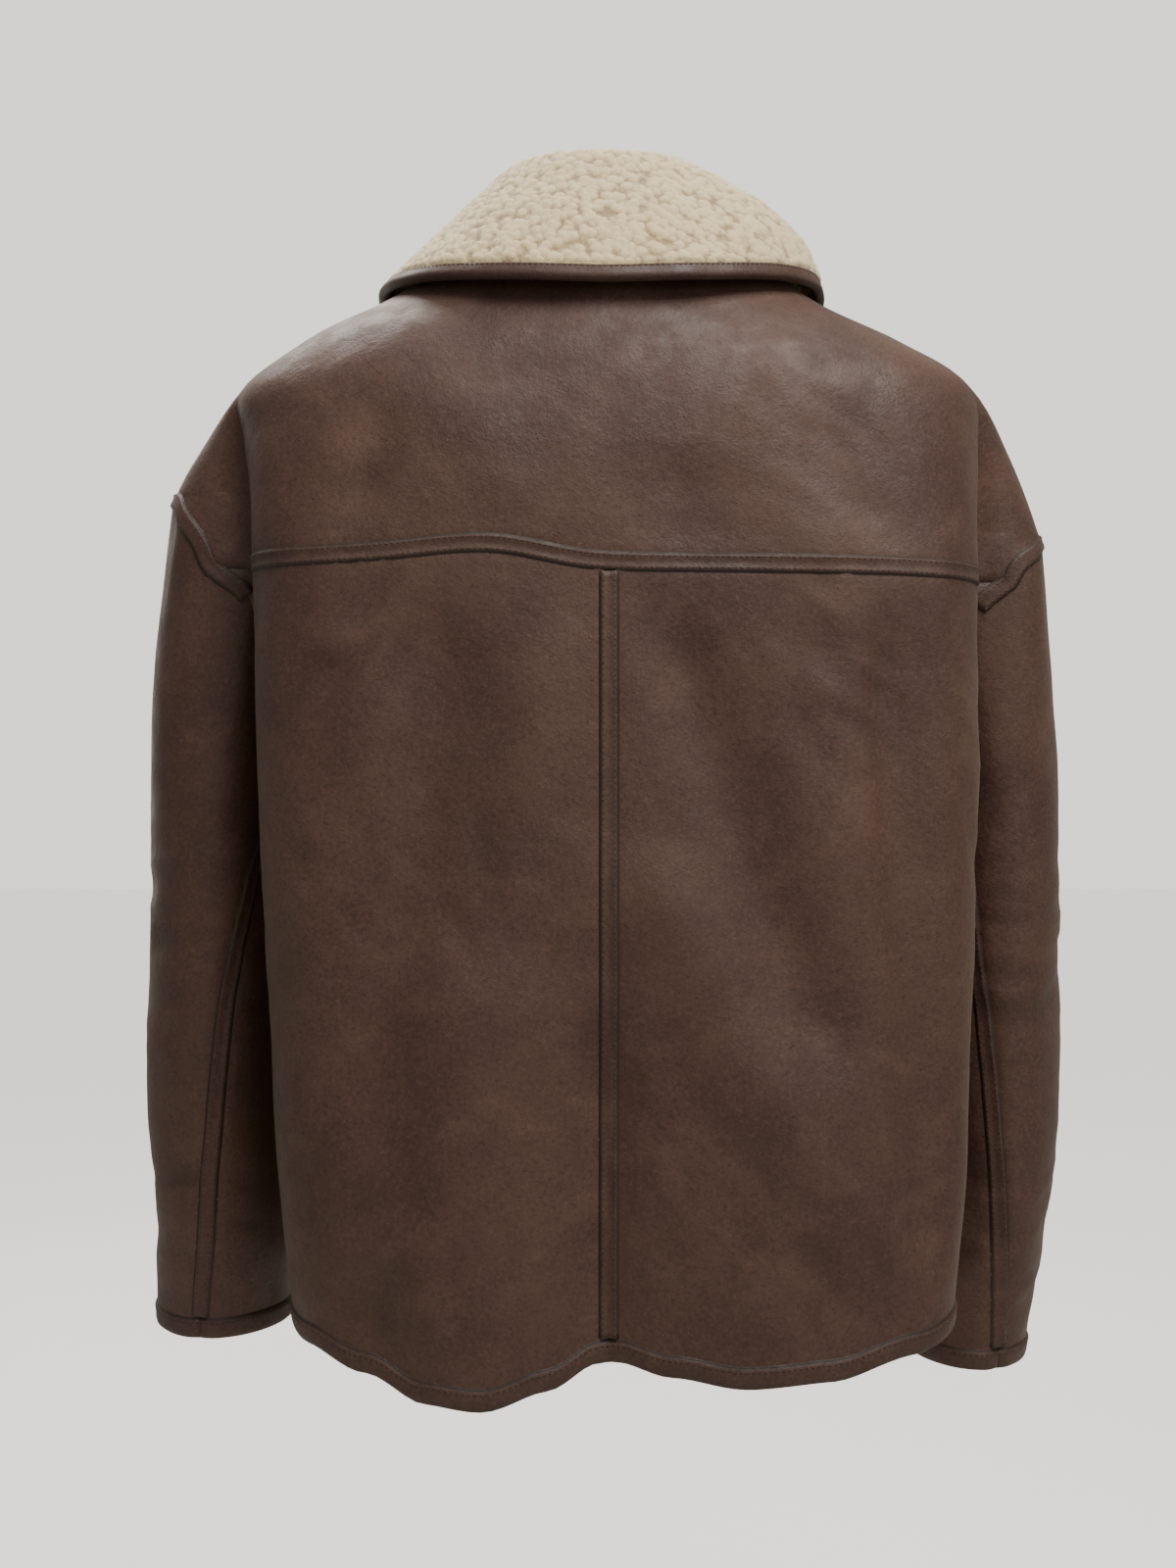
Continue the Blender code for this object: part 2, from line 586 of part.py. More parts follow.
def sleeve_grid(right):
    """The sleeve as (point, out): a column for each armhole point, from the armhole to the cuff."""
    side = -1 if right else 1
    table = ARM_RIGHT if right else ARM_LEFT
    loop = armhole_loop(right)
    count = len(loop) - 1
    on_trunk = {step for step in range(len(loop)) if step <= 2 or step >= count - 2}
    tops, tangents = [], []
    for step, (point, out) in enumerate(loop):
        ahead = loop[min(step + 1, count)][0] - loop[max(step - 1, 0)][0]
        tangents.append(ahead.normalized())
        if step in on_trunk:
            tops.append(point + out * UNDERARM_CLEAR)
            continue
        down = out.cross(ahead).normalized()
        if down.z > 0:
            down = -down
        tops.append(point + down * SEAM_GAP)
    grid = []
    for step, top in enumerate(tops):
        arm = through(table, row_of(table, top.z))
        start = math.degrees(math.atan2((top.y - arm.y) / arm.deep, (top.x * side - arm.x) / arm.wide))
        start_turn = (start - arm.seam_deg) % 360
        if step == 0:
            start_turn = 0.0
        if step == count:
            start_turn = 360.0
        offset = Vector((top.x - side * arm.x, top.y - arm.y))
        spots = []
        for share in SLEEVE_ROWS:
            height = top.z + (table[-1].z - top.z) * share
            arm = through(table, row_of(table, height))
            eased = ease((top.z - height) / SLEEVE_EASE)
            turn = start_turn + (360.0 * step / count - start_turn) * eased
            degrees = arm.seam_deg + turn
            angle = math.radians(degrees)
            swell = dent_height(side, height, degrees) * eased
            round_spot = Vector(
                (side * (arm.wide + swell) * math.cos(angle), (arm.deep + swell) * math.sin(angle))
            )
            spot = offset + (round_spot - offset) * eased
            point = Vector((side * arm.x + spot.x, arm.y + spot.y, height))
            round_out = Vector((side * math.cos(angle) / arm.wide, math.sin(angle) / arm.deep, 0)).normalized()
            out = round_out
            if step not in on_trunk:
                out = (loop[step][1] * (1 - ease(share / 0.09)) + round_out * ease(share / 0.09)).normalized()
            spots.append((point, out))
        grid.append(spots)
    return grid, loop


def build_sleeve(name, right, collection):
    """One sleeve, open along its seam. Returns its grid, skins and armhole loop."""
    grid, loop = sleeve_grid(right)
    skins = panel("sleeve_" + name, trimmed(grid, ("first", "last")), LEATHER, collection)
    return grid, skins, loop


# ---- The collar ---------------------------------------------------------------------------------------------------


def neck_edge(grids):
    """The panels' edges along the neck seam as (plan angle, point, out), from the left front round by the back."""
    edge = []
    for grid in grids:
        for point, out in (column[0] for column in grid):
            degrees = math.degrees(math.atan2(point.y, point.x))
            edge.append((degrees if degrees > -91 else degrees + 360, point, out))
    return sorted(edge, key=lambda spot: spot[0])


def neck_spot(neck, degrees):
    """(point, out) on the neck edge at a plan angle."""
    for (low, start, start_out), (high, end, end_out) in zip(neck, neck[1:]):
        if degrees <= high:
            part = min(max((degrees - low) / max(high - low, 1e-6), 0.0), 1.0)
            return start.lerp(end, part), start_out.lerp(end_out, part).normalized()
    return neck[-1][1], neck[-1][2]


def collar_section(row, right, neck):
    """The collar's middle line and directions out at one station, from the neck seam over the roll to the edge."""
    def spot(degrees, radius, height):
        angle = math.radians(other_side(degrees) if right else degrees)
        return Vector((radius * math.cos(angle), radius * math.sin(angle), height))

    base_degrees = other_side(row.base_deg) if right else row.base_deg
    base, base_out = neck_spot(neck, base_degrees)
    up = (trunk(base_degrees, NECK) - trunk(base_degrees, NECK + 0.05)).normalized()
    foot = base + up * COLLAR_FOOT - base_out * CLOTH / 2
    roll = spot(row.roll_deg, row.roll_r, row.roll_z)
    edge = spot(row.edge_deg, row.edge_r, row.edge_z)
    level = Vector((edge.x - roll.x, edge.y - roll.y, 0)).normalized()
    high = Vector((0, 0, 1))
    inner = roll + level * COLLAR_ROLL_IN[0] + high * COLLAR_ROLL_IN[1]
    outer = roll + level * COLLAR_ROLL_OUT[0] + high * COLLAR_ROLL_OUT[1]
    fall = edge - outer
    swell = Vector((level.x * -fall.z, level.y * -fall.z, level.dot(fall))).normalized() * row.puff
    line = [
        foot,
        foot + (inner - foot) * 0.5,
        inner,
        roll,
        outer,
        outer + fall * 0.33 + swell * 0.9,
        outer + fall * 0.68 + swell,
        edge,
    ]
    outs = [-base_out]
    for place in range(1, len(line)):
        ahead = (line[min(place + 1, len(line) - 1)] - line[place - 1]).normalized()
        across = level.cross(high).cross(ahead)
        outs.append(across.normalized())
    return line, outs


def collar_grid(neck):
    """The collar as (middle point, direction of its pile side, half thickness) from the left front to the right."""
    columns = []
    for step in range(-COLLAR_STATIONS, COLLAR_STATIONS + 1):
        table = COLLAR_LEFT if step < 0 else COLLAR_RIGHT
        place = abs(step) / COLLAR_STATIONS * (len(table) - 1)
        line, outs = collar_section(through(table, place), step > 0, neck)
        columns.append(
            [
                (point, out, CLOTH / 2 if row == 0 else COLLAR_CLOTH / 2)
                for row, (point, out) in enumerate(zip(line, outs))
            ]
        )
    return columns


def build_collar(neck, collection):
    """The collar, in two halves that meet at the centre back, and the binding of its outer edge."""
    grid = collar_grid(neck)
    pile = [[point + out * half for point, out, half in column] for column in grid]
    under = [[point - out * half for point, out, half in column] for column in grid]
    for name, kept, end, beside in (
        ("left", slice(0, COLLAR_STATIONS + 1), -1, -2),
        ("right", slice(COLLAR_STATIONS, None), 0, 1),
    ):
        skins = []
        for skin in (pile, under):
            columns = [list(column) for column in skin[kept]]
            columns[end] = [
                point + (inward - point).normalized() * SEAM_GAP / 2
                for point, inward in zip(columns[end], columns[beside])
            ]
            skins.append(columns)
        wall("collar_" + name, skins[0], skins[1], PILE, collection)
    binding(
        "collar_binding",
        [column[-1] for column in pile],
        [column[-1] for column in under],
        [column[-2] for column in pile],
        [column[-2] for column in under],
        collection,
        gap=TWIST_LIFT,
    )


# ---- Strips, bindings and buttons ---------------------------------------------------------------------------------


def build_back_strips(backs, collection):
    """The strips over the yoke seam and the centre back seam."""
    tree = cloth_tree(("back_yoke", "back_left", "back_right"))
    seam = [column[-1] for column in backs["yoke"]]
    fold = len(YOKE_LOBE_STEPS)
    low, path, high = seam[fold], seam[fold + 1 : -fold - 1], seam[-fold - 1]
    path.insert(0, (path[0][0].lerp(low[0], YOKE_STRIP_REACH), path[0][1]))
    path.append((path[-1][0].lerp(high[0], YOKE_STRIP_REACH), path[-1][1]))
    strip("yoke_strip", path, tree, collection)
    centre = [(point.copy(), out) for point, out in backs["left"][0]]
    below, above = centre[0][0], centre[1][0]
    centre[0] = (below + (above - below).normalized() * (STRIP_WIDE / 2 + 0.0015), centre[0][1])
    lowest, before = centre[-1][0], centre[-2][0]
    centre[-1] = (lowest + (before - lowest).normalized() * (BINDING_LEG + 0.0015), centre[-1][1])
    strip("centre_back_strip", centre, tree, collection)


def build_sleeve_trim(name, grid, skins, loop, collection):
    """The strips over a sleeve's seam and its armhole, and the binding of its cuff."""
    tree = cloth_tree(["sleeve_" + name])
    seam = [(point.copy(), out) for point, out in grid[0]][2:]
    lowest, before = seam[-1][0], seam[-2][0]
    seam[-1] = (lowest + (before - lowest).normalized() * (BINDING_LEG + 0.0015), seam[-1][1])
    strip("sleeve_strip_" + name, seam, tree, collection)
    tree = cloth_tree(["sleeve_" + name, "back_yoke", "back_" + name, "front_" + name])
    strip("armhole_strip_" + name, loop, tree, collection, gap=ARMHOLE_LIFT, start=4, end=-4)
    face, back = skins
    binding(
        "cuff_binding_" + name,
        [column[-1] for column in face],
        [column[-1] for column in back],
        [column[-2] for column in face],
        [column[-2] for column in back],
        collection,
        gap=TWIST_LIFT,
    )


def build_hem(back_skins, front_skins, collection):
    """The binding of the lower edge, from the left front round to the right front's edge, and of the right front's
    edge. The left front's edge lies under the right one and is plain."""
    under_lap = 3
    runs = [
        (list(reversed(front_skins["left"][0][: len(front_skins["left"][0]) - under_lap])),
         list(reversed(front_skins["left"][1][: len(front_skins["left"][1]) - under_lap]))),
        (list(reversed(back_skins["left"][0])), list(reversed(back_skins["left"][1]))),
        (back_skins["right"][0], back_skins["right"][1]),
        (front_skins["right"][0][:-1], front_skins["right"][1][:-1]),
    ]
    face = [column for run in runs for column in run[0]]
    back = [column for run in runs for column in run[1]]
    kept = [0] + [
        place for place in range(1, len(face)) if (face[place][-1] - face[place - 1][-1]).length > 0.004
    ]
    binding(
        "hem_binding",
        [face[place][-1] for place in kept],
        [back[place][-1] for place in kept],
        [face[place][-2] for place in kept],
        [back[place][-2] for place in kept],
        collection,
        gap=HEM_LIFT,
    )
    edge_face, edge_back = front_skins["right"]
    binding(
        "front_edge_binding",
        edge_face[-1],
        edge_back[-1],
        edge_face[-2],
        edge_back[-2],
        collection,
        gap=BINDING_LIFT * 2,
    )


def build_buttons(collection):
    """The buttons at the centre front, on the right front's face."""
    tree = cloth_tree(["front_right"])
    for count in range(BUTTON_COUNT):
        height = BUTTON_TOP_Z - BUTTON_STEP * count
        seat, out, _, _ = tree.ray_cast(Vector((BUTTON_X, -1, height)), Vector((0, 1, 0)))
        if out.y > 0:
            out = -out
        mesh = bmesh.new()
        bmesh.ops.create_cone(
            mesh,
            cap_ends=True,
            segments=BUTTON_SIDES,
            radius1=BUTTON_RADIUS * 0.93,
            radius2=BUTTON_RADIUS,
            depth=BUTTON_THICK,
        )
        middle = seat + out * (BUTTON_THICK / 2 + STRIP_LIFT)
        turn = Vector((0, 0, 1)).rotation_difference(out).to_matrix().to_4x4()
        bmesh.ops.rotate(mesh, verts=mesh.verts[:], cent=Vector(), matrix=turn)
        bmesh.ops.translate(mesh, verts=mesh.verts[:], vec=middle)
        add_object("button_%d" % (count + 1), mesh, HORN, collection)


def main():
    """Builds every piece."""
    for old in list(bpy.data.objects):
        bpy.data.objects.remove(old, do_unlink=True)
    collection = bpy.data.collections.new("sherpa_lined_jacket")
    bpy.context.scene.collection.children.link(collection)

    backs, back_skins = build_back(collection)
    fronts, front_skins = build_fronts(collection)
    sleeves = {name: build_sleeve(name, right, collection) for name, right in (("left", False), ("right", True))}
    build_collar(neck_edge([fronts["left"][:-2], backs["yoke"], fronts["right"]]), collection)
    build_back_strips(backs, collection)
    for name, (grid, skins, loop) in sleeves.items():
        build_sleeve_trim(name, grid, skins, loop, collection)
    build_hem(back_skins, front_skins, collection)
    build_buttons(collection)


main()
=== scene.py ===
"""Sherpa lined jacket: the looks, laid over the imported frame.

Metres, +Z up, the front faces -Y and +X is the wearer's left. Each cut panel is a sheet bent onto one form: rings
round the trunk, with a lobe at each side for the arm. Strips and bindings are laid on the finished panels.
"""

import logging
import math
from dataclasses import dataclass
from enum import Enum
from typing import Callable, NamedTuple, Sequence, TypeVar

import bmesh
import bpy
from mathutils import Matrix, Vector, noise
from mathutils.bvhtree import BVHTree


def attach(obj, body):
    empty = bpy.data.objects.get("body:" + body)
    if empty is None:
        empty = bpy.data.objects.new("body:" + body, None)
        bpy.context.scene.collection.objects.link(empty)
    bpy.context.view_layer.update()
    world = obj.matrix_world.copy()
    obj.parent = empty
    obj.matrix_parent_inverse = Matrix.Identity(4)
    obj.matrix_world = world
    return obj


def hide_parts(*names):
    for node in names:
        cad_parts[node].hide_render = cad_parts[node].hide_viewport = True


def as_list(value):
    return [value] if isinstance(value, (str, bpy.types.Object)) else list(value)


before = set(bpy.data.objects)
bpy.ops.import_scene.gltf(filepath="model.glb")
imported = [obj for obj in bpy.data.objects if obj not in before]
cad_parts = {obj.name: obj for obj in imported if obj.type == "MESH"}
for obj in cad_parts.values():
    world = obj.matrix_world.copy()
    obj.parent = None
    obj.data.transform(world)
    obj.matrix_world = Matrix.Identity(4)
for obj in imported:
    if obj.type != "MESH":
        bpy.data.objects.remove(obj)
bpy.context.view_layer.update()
LOG = logging.getLogger("sherpa_lined_jacket")

Spot = tuple[Vector, Vector]   # a point and the direction out of the cloth there
Value = TypeVar("Value", float, Vector)
Colour = tuple[float, float, float, float]
Piece, Material, Socket = bpy.types.Object, bpy.types.Material, bpy.types.NodeSocket
Mesh, Layer = bmesh.types.BMesh, bmesh.types.BMLayerItem

# ---- Measures ----

CLOTH = 0.0043
COLLAR_CLOTH = 0.0062
STRIP_WIDE = 0.0100
STRIP_HIGH = 0.0016
BINDING_LEG = 0.0100
BINDING_HIGH = 0.0014
COLLAR_FOOT = 0.0012
UNDERARM_CLEAR = 0.0014
LAP_HALF = 0.020
LAP_RAMP = 0.030
LAP_CLEAR = 0.0046
BUTTON_RADIUS = 0.0105
BUTTON_X = -0.0035
BUTTON_COUNT = 5
BUTTON_TOP_Z = -0.115
BUTTON_STEP = 0.118
STITCH_STEP = 0.0034
STITCH_LONG = 0.0023
STITCH_THICK = 0.00042
NOISE_SEED = 21          # without one, noise_vector starts from the clock and the pile differs from run to run
BAND_STEP = 0.0034       # spacing of a strip's sections
BAND_STITCH_SHARE = 0.66  # where its stitches lie, as a share of half its width
SEAM_SAMPLE = 0.002      # spacing of the spots that a seam's line is first read at
EDGE_SPOTS = 12          # spots in from an edge that its binding is laid on
RELIEF_WEAR_AND_SHADE = 130.0      # how much paler for each metre that a crease stands out: crests paler, as wear and painted highlight, and troughs darker, as painted shade
TUCKS = ((0.0016, 0.12), (0.0007, 0.34))  # how far a sewn edge and the next spots turn down, and how dark they are painted there as shade at the seam

# ---- The form ----

class Ring(NamedTuple):
    """One section of the trunk."""

    back_z: float
    left_z: float
    right_z: float
    front_z: float
    left_w: float
    right_w: float
    left_reach: float
    right_reach: float
    back_y: float
    front_y: float
    square: float


# One row for each section of the trunk, from the neck seam down. w is the half width of the trunk, reach is how far
# out the arm's lobe goes, and square is the exponent of the section: 2 is an ellipse and more is boxier.
RINGS = (
    Ring(0.008, 0.003, 0.003, -0.070, 0.085, 0.085, 0.085, 0.085, 0.078, 0.100, 2.0),
    Ring(-0.014, -0.010, -0.010, -0.082, 0.118, 0.113, 0.118, 0.113, 0.093, 0.108, 2.1),
    Ring(-0.043, -0.031, -0.031, -0.097, 0.152, 0.144, 0.152, 0.144, 0.105, 0.114, 2.2),
    Ring(-0.070, -0.056, -0.055, -0.110, 0.198, 0.191, 0.198, 0.191, 0.116, 0.118, 2.5),
    Ring(-0.097, -0.087, -0.085, -0.123, 0.233, 0.231, 0.233, 0.231, 0.123, 0.121, 3.0),
    Ring(-0.124, -0.116, -0.127, -0.136, 0.2270, 0.2310, 0.2570, 0.2590, 0.128, 0.124, 3.8),
    Ring(-0.153, -0.149, -0.176, -0.152, 0.2200, 0.2280, 0.2774, 0.2790, 0.131, 0.126, 4.6),
    Ring(-0.203, -0.197, -0.206, -0.203, 0.2170, 0.2265, 0.2930, 0.2870, 0.134, 0.129, 5.2),
    Ring(-0.259, -0.259, -0.267, -0.260, 0.2160, 0.2260, 0.2160, 0.2260, 0.136, 0.131, 5.4),
    Ring(-0.335, -0.335, -0.338, -0.335, 0.2130, 0.2255, 0.2130, 0.2255, 0.138, 0.131, 5.4),
    Ring(-0.450, -0.450, -0.450, -0.450, 0.2070, 0.2220, 0.2070, 0.2220, 0.141, 0.129, 5.4),
    Ring(-0.565, -0.562, -0.562, -0.565, 0.2000, 0.2185, 0.2000, 0.2185, 0.142, 0.126, 5.2),
    Ring(-0.660, -0.646, -0.646, -0.660, 0.1920, 0.2130, 0.1920, 0.2130, 0.140, 0.123, 5.0),
)
NECK, ARMHOLE_TOP, YOKE_SEAM, UNDERARM, HIP, HEM = 0, 6, 7, 8, 11, 12

LOBE_MIDDLE = -3.0       # degrees of plan angle, from straight sideways
LOBE_BACK = 17.0         # from its middle to the fold at the back
LOBE_FRONT = 17.5
LOBE_POWER = 2.5


class Armhole(NamedTuple):
    """One step down the armhole seam."""

    back: float
    front: float
    share: float


# The armhole seam, a row for each step from its top at the shoulder to the underarm. back and front are places across
# the arm's lobe, where 1 and -1 are the folds behind and before it, and share is how much of the lobe stands there.
ARMHOLE = (
    Armhole(-0.10, -0.10, 1.0),
    Armhole(0.60, -0.68, 1.0),
    Armhole(0.80, -0.84, 1.0),
    Armhole(0.93, -0.93, 1.0),
    Armhole(0.965, -0.965, 1.0),
    Armhole(0.98, -0.98, 0.4),
    Armhole(0.80, -0.80, 0.0),
    Armhole(0.42, -0.50, 0.0),
    Armhole(-0.10, -0.10, 0.0),
)

# Height of the finished lower edge at each plan angle, from the left side round by the back.
HEM_LINE = (
    (-60, -0.661), (-30, -0.652), (0, -0.646), (24, -0.648), (34, -0.653), (44, -0.664), (54, -0.678), (64, -0.681),
    (76, -0.671), (87, -0.659), (93, -0.658), (104, -0.664), (118, -0.670), (132, -0.667), (144, -0.656),
    (156, -0.648), (180, -0.646), (210, -0.652), (240, -0.663), (270, -0.659), (300, -0.661),
)

YOKE_RISE = 0.0095       # the yoke seam climbs this much left of the centre
YOKE_RISE_DEG = 62.0
YOKE_RISE_WIDE = 17.0


class Fold(NamedTuple):
    """A soft ridge (+) or trough (-) that runs down the cloth."""

    top_z: float
    low_z: float
    top_deg: float
    low_deg: float
    wide: float
    height: float


# Soft ridges (+) and troughs (-) that run down the cloth, by plan angle: 0 left side, 90 centre back, 180 right side.
FOLDS = (
    Fold(-0.085, -0.200, 41, 40, 0.018, -0.0050),
    Fold(-0.080, -0.200, 61, 68, 0.026, 0.0030),
    Fold(-0.090, -0.215, 135, 145, 0.019, -0.0060),
    Fold(-0.130, -0.215, 112, 115, 0.032, -0.0035),
    Fold(-0.205, -0.560, 54, 46, 0.022, -0.0070),
    Fold(-0.215, -0.450, 73, 70, 0.030, 0.0040),
    Fold(-0.400, -0.900, 61, 61, 0.040, 0.0110),
    Fold(-0.450, -0.900, 89, 89, 0.020, -0.0090),
    Fold(-0.450, -0.900, 120, 118, 0.045, 0.0060),
    Fold(-0.350, -0.640, 96, 143, 0.026, 0.0060),
    Fold(-0.210, -0.520, 103, 137, 0.021, -0.0065),
    Fold(-0.215, -0.640, 141, 146, 0.015, -0.0095),
    Fold(-0.185, -0.900, -6, -6, 0.062, -0.0190),
    Fold(-0.185, -0.900, 186, 186, 0.062, -0.0310),
    Fold(-0.160, -0.520, -46, -52, 0.022, -0.0070),
    Fold(-0.150, -0.480, 229, 236, 0.020, -0.0060),
    Fold(-0.380, -0.900, -66, -66, 0.035, 0.0060),
    Fold(-0.420, -0.900, 218, 222, 0.035, 0.0070),
)

FOLD_FADE = 0.062        # a fold fades in and out over at most this


class Arm(NamedTuple):
    """One section of a sleeve."""

    z: float
    x: float
    y: float
    wide: float
    deep: float
    seam_deg: float


# The sleeve's tube: its centre, half sizes and where its seam lies, from the armhole to the cuff. A seam at 180 faces
# the trunk, and at 90 it faces back.
ARM_LEFT = (
    Arm(-0.140, 0.2360, -0.015, 0.0420, 0.072, 180),
    Arm(-0.259, 0.2520, -0.018, 0.0430, 0.070, 178),
    Arm(-0.350, 0.2533, -0.018, 0.0446, 0.069, 146),
    Arm(-0.450, 0.2545, -0.019, 0.0453, 0.066, 116),
    Arm(-0.550, 0.2550, -0.022, 0.0451, 0.062, 101),
    Arm(-0.620, 0.2542, -0.026, 0.0440, 0.059, 92),
    Arm(-0.679, 0.2530, -0.030, 0.0436, 0.057, 83),
)
ARM_RIGHT = (
    Arm(-0.140, 0.2380, -0.015, 0.0420, 0.072, 180),
    Arm(-0.267, 0.2490, -0.018, 0.0405, 0.070, 178),
    Arm(-0.350, 0.2500, -0.018, 0.0432, 0.069, 134),
    Arm(-0.440, 0.2535, -0.019, 0.0440, 0.066, 121),
    Arm(-0.540, 0.2535, -0.022, 0.0432, 0.062, 106),
    Arm(-0.630, 0.2460, -0.027, 0.0412, 0.058, 88),
    Arm(-0.700, 0.2380, -0.031, 0.0385, 0.055, 74),
)
SLEEVE_EASE = 0.13       # below the armhole the sleeve takes this long to become its tube


class Dent(NamedTuple):
    """A soft dent (-) or swell (+) of a sleeve."""

    side: float
    z: float
    deg: float
    tall: float
    wide: float
    height: float


# Soft dents (-) and swells (+) of the sleeves, by place along and round the tube.
DENTS = (
    Dent(1, -0.300, 60, 0.050, 24, 0.0030),
    Dent(1, -0.400, 35, 0.060, 30, -0.0035),
    Dent(1, -0.560, 75, 0.050, 30, 0.0030),
    Dent(1, -0.600, 10, 0.035, 30, -0.0030),
    Dent(1, -0.440, 250, 0.060, 40, -0.0050),
    Dent(-1, -0.320, 50, 0.060, 26, 0.0030),
    Dent(-1, -0.470, 40, 0.060, 35, -0.0035),
    Dent(-1, -0.590, 80, 0.050, 30, 0.0025),
    Dent(-1, -0.430, 260, 0.060, 40, -0.0050),
)


class Roll(NamedTuple):
    """One section of the collar."""

    base_deg: float
    roll_deg: float
    roll_r: float
    roll_z: float
    edge_deg: float
    edge_r: float
    edge_z: float
    puff: float


# Sections of the collar from the centre back to its front end: where it stands on the neck seam, the top of its roll,
# the lower edge of its fall and how far the fall swells. r is the distance from the neck's axis.
COLLAR_LEFT = (
    Roll(90, 90, 0.052, 0.0575, 90, 0.1145, -0.0345, 0.003),
    Roll(60, 60, 0.055, 0.0570, 61, 0.1225, -0.0310, 0.003),
    Roll(30, 30, 0.061, 0.0560, 32, 0.1360, -0.0230, 0.001),
    Roll(0, 0, 0.0665, 0.0530, 4, 0.1440, -0.0160, 0.000),
    Roll(-30, -30, 0.074, 0.0440, -22, 0.1500, -0.0230, 0.008),
    Roll(-56, -54, 0.088, 0.0220, -42, 0.1580, -0.0530, 0.011),
    Roll(-77, -76, 0.104, -0.0310, -60, 0.1580, -0.1140, 0.006),
)
COLLAR_RIGHT = (
    COLLAR_LEFT[0],
    Roll(60, 60, 0.055, 0.0570, 61, 0.1215, -0.0310, 0.005),
    Roll(30, 30, 0.061, 0.0565, 32, 0.1325, -0.0220, 0.009),
    Roll(0, 0, 0.066, 0.0535, 4, 0.1370, -0.0150, 0.010),
    Roll(-30, -30, 0.074, 0.0440, -22, 0.1480, -0.0230, 0.010),
    Roll(-56, -54, 0.089, 0.0220, -42, 0.1590, -0.0530, 0.011),
    Roll(-88, -87, 0.113, -0.0300, -68, 0.1600, -0.1140, 0.006),
)
COLLAR_ROLL_IN = (-0.0020, -0.0130)   # from the top of the roll to its inner shoulder: outward, up
COLLAR_ROLL_OUT = (0.0095, -0.0060)   # and to its outer shoulder

class Crease(NamedTuple):
    """A patch of small creases: its middle, its size, how it leans in degrees from level, its spacing and height."""

    x: float
    y: float
    z: float
    size: float
    lean: float
    step: float
    height: float


CREASES = (
    Crease(0.145, 0.11, -0.380, 0.050, 62, 0.015, 0.0016),
    Crease(0.080, 0.14, -0.380, 0.040, 70, 0.018, 0.0012),
    Crease(-0.115, 0.13, -0.580, 0.050, 60, 0.016, 0.0015),
    Crease(0.005, 0.14, -0.570, 0.050, 75, 0.020, 0.0012),
    Crease(-0.195, 0.09, -0.325, 0.060, 75, 0.016, 0.0016),
    Crease(-0.150, 0.12, -0.270, 0.055, 55, 0.020, 0.0018),
    Crease(0.150, 0.12, -0.250, 0.050, -58, 0.020, 0.0015),
    Crease(0.120, 0.13, -0.600, 0.060, 78, 0.022, 0.0013),
    Crease(-0.140, 0.11, -0.130, 0.050, 40, 0.022, 0.0013),
    Crease(0.150, 0.11, -0.120, 0.050, -42, 0.022, 0.0013),
    Crease(0.270, 0.03, -0.420, 0.060, 12, 0.018, 0.0015),
    Crease(-0.270, 0.03, -0.440, 0.060, -15, 0.018, 0.0015),
    Crease(0.265, 0.02, -0.600, 0.050, 20, 0.017, 0.0014),
    Crease(-0.265, 0.02, -0.610, 0.050, -18, 0.017, 0.0014),
    Crease(0.140, -0.12, -0.360, 0.070, 66, 0.018, 0.0016),
    Crease(-0.150, -0.12, -0.400, 0.070, -64, 0.018, 0.0016),
    Crease(0.110, -0.12, -0.580, 0.060, 75, 0.020, 0.0013),
    Crease(-0.110, -0.12, -0.560, 0.060, -72, 0.020, 0.0013),
    Crease(0.150, -0.10, -0.170, 0.060, -40, 0.020, 0.0014),
    Crease(-0.150, -0.10, -0.180, 0.060, 42, 0.020, 0.0014),
)

SLEEVE_X = 0.22          # creases further out than this are on a sleeve, and run across its side

# ---- How finely the pieces are made ----

FINE = 0.0046            # spacing of a panel's points
BACK_DEGREES = (90, 76, 62, 49, 38, 29, 21, 14)
FRONT_DEGREES = (-20.5, -28, -37, -48, -61, -74)
LOBE_STEPS = (0.04, 0.16, 0.40, 0.70, 1.0)
ARMHOLE_STEPS = len(ARMHOLE) - 1
ARMHOLE_PARTS = 4        # points of a sleeve for each step of the armhole
ARMHOLE_STRIP_SKIP = 13  # of them, how many at the underarm the armhole's strip leaves out at each end
COLLAR_SECTIONS = 250    # on each side of the centre back
COLLAR_ROWS = 128


class Side(Enum):
    """Which half of the jacket, as the wearer has it."""

    LEFT = 1
    RIGHT = -1


class Slot(Enum):
    """The record's material slots."""

    LEATHER = "leather_face"
    TRIM = "leather_trim"
    PILE = "sherpa_pile"
    HORN = "button_horn"


# ---- Small helpers ----


NEAR_STEPS = (-1, 0, 1, 2)


def curved(before: Value, start: Value, end: Value, after: Value, part: float) -> Value:
    """A place between start and end on the smooth curve through four evenly spaced values."""
    bend = 2 * before - 5 * start + 4 * end - after + part * (3 * (start - end) + after - before)
    return start + 0.5 * part * (end - before + part * bend)


def through(rows: Sequence[NamedTuple], place: float) -> NamedTuple:
    """A table's values at a fractional row, on a smooth curve through its rows.

    Args:
        rows: The table.
        place: The fractional row.

    Returns:
        A row of the table's kind.
    """
    at = min(max(place, 0.0), len(rows) - 1.0)
    low = min(int(at), len(rows) - 2)
    near = [rows[min(max(low + step, 0), len(rows) - 1)] for step in NEAR_STEPS]
    return type(rows[0])(*(curved(*values, at - low) for values in zip(*near)))


def between(pairs: Sequence[tuple[float, float]], place: float) -> float:
    """The height at a place on a line of (place, height) pairs, eased from each pair to the next."""
    for (low, first), (high, last) in zip(pairs, pairs[1:]):
        if place <= high:
            return first + (last - first) * ease((place - low) / (high - low))
    return pairs[-1][1]


def ease(part: float) -> float:
    """0 to 1, level at both ends."""
    part = min(max(part, 0.0), 1.0)
    return part * part * (3 - 2 * part)


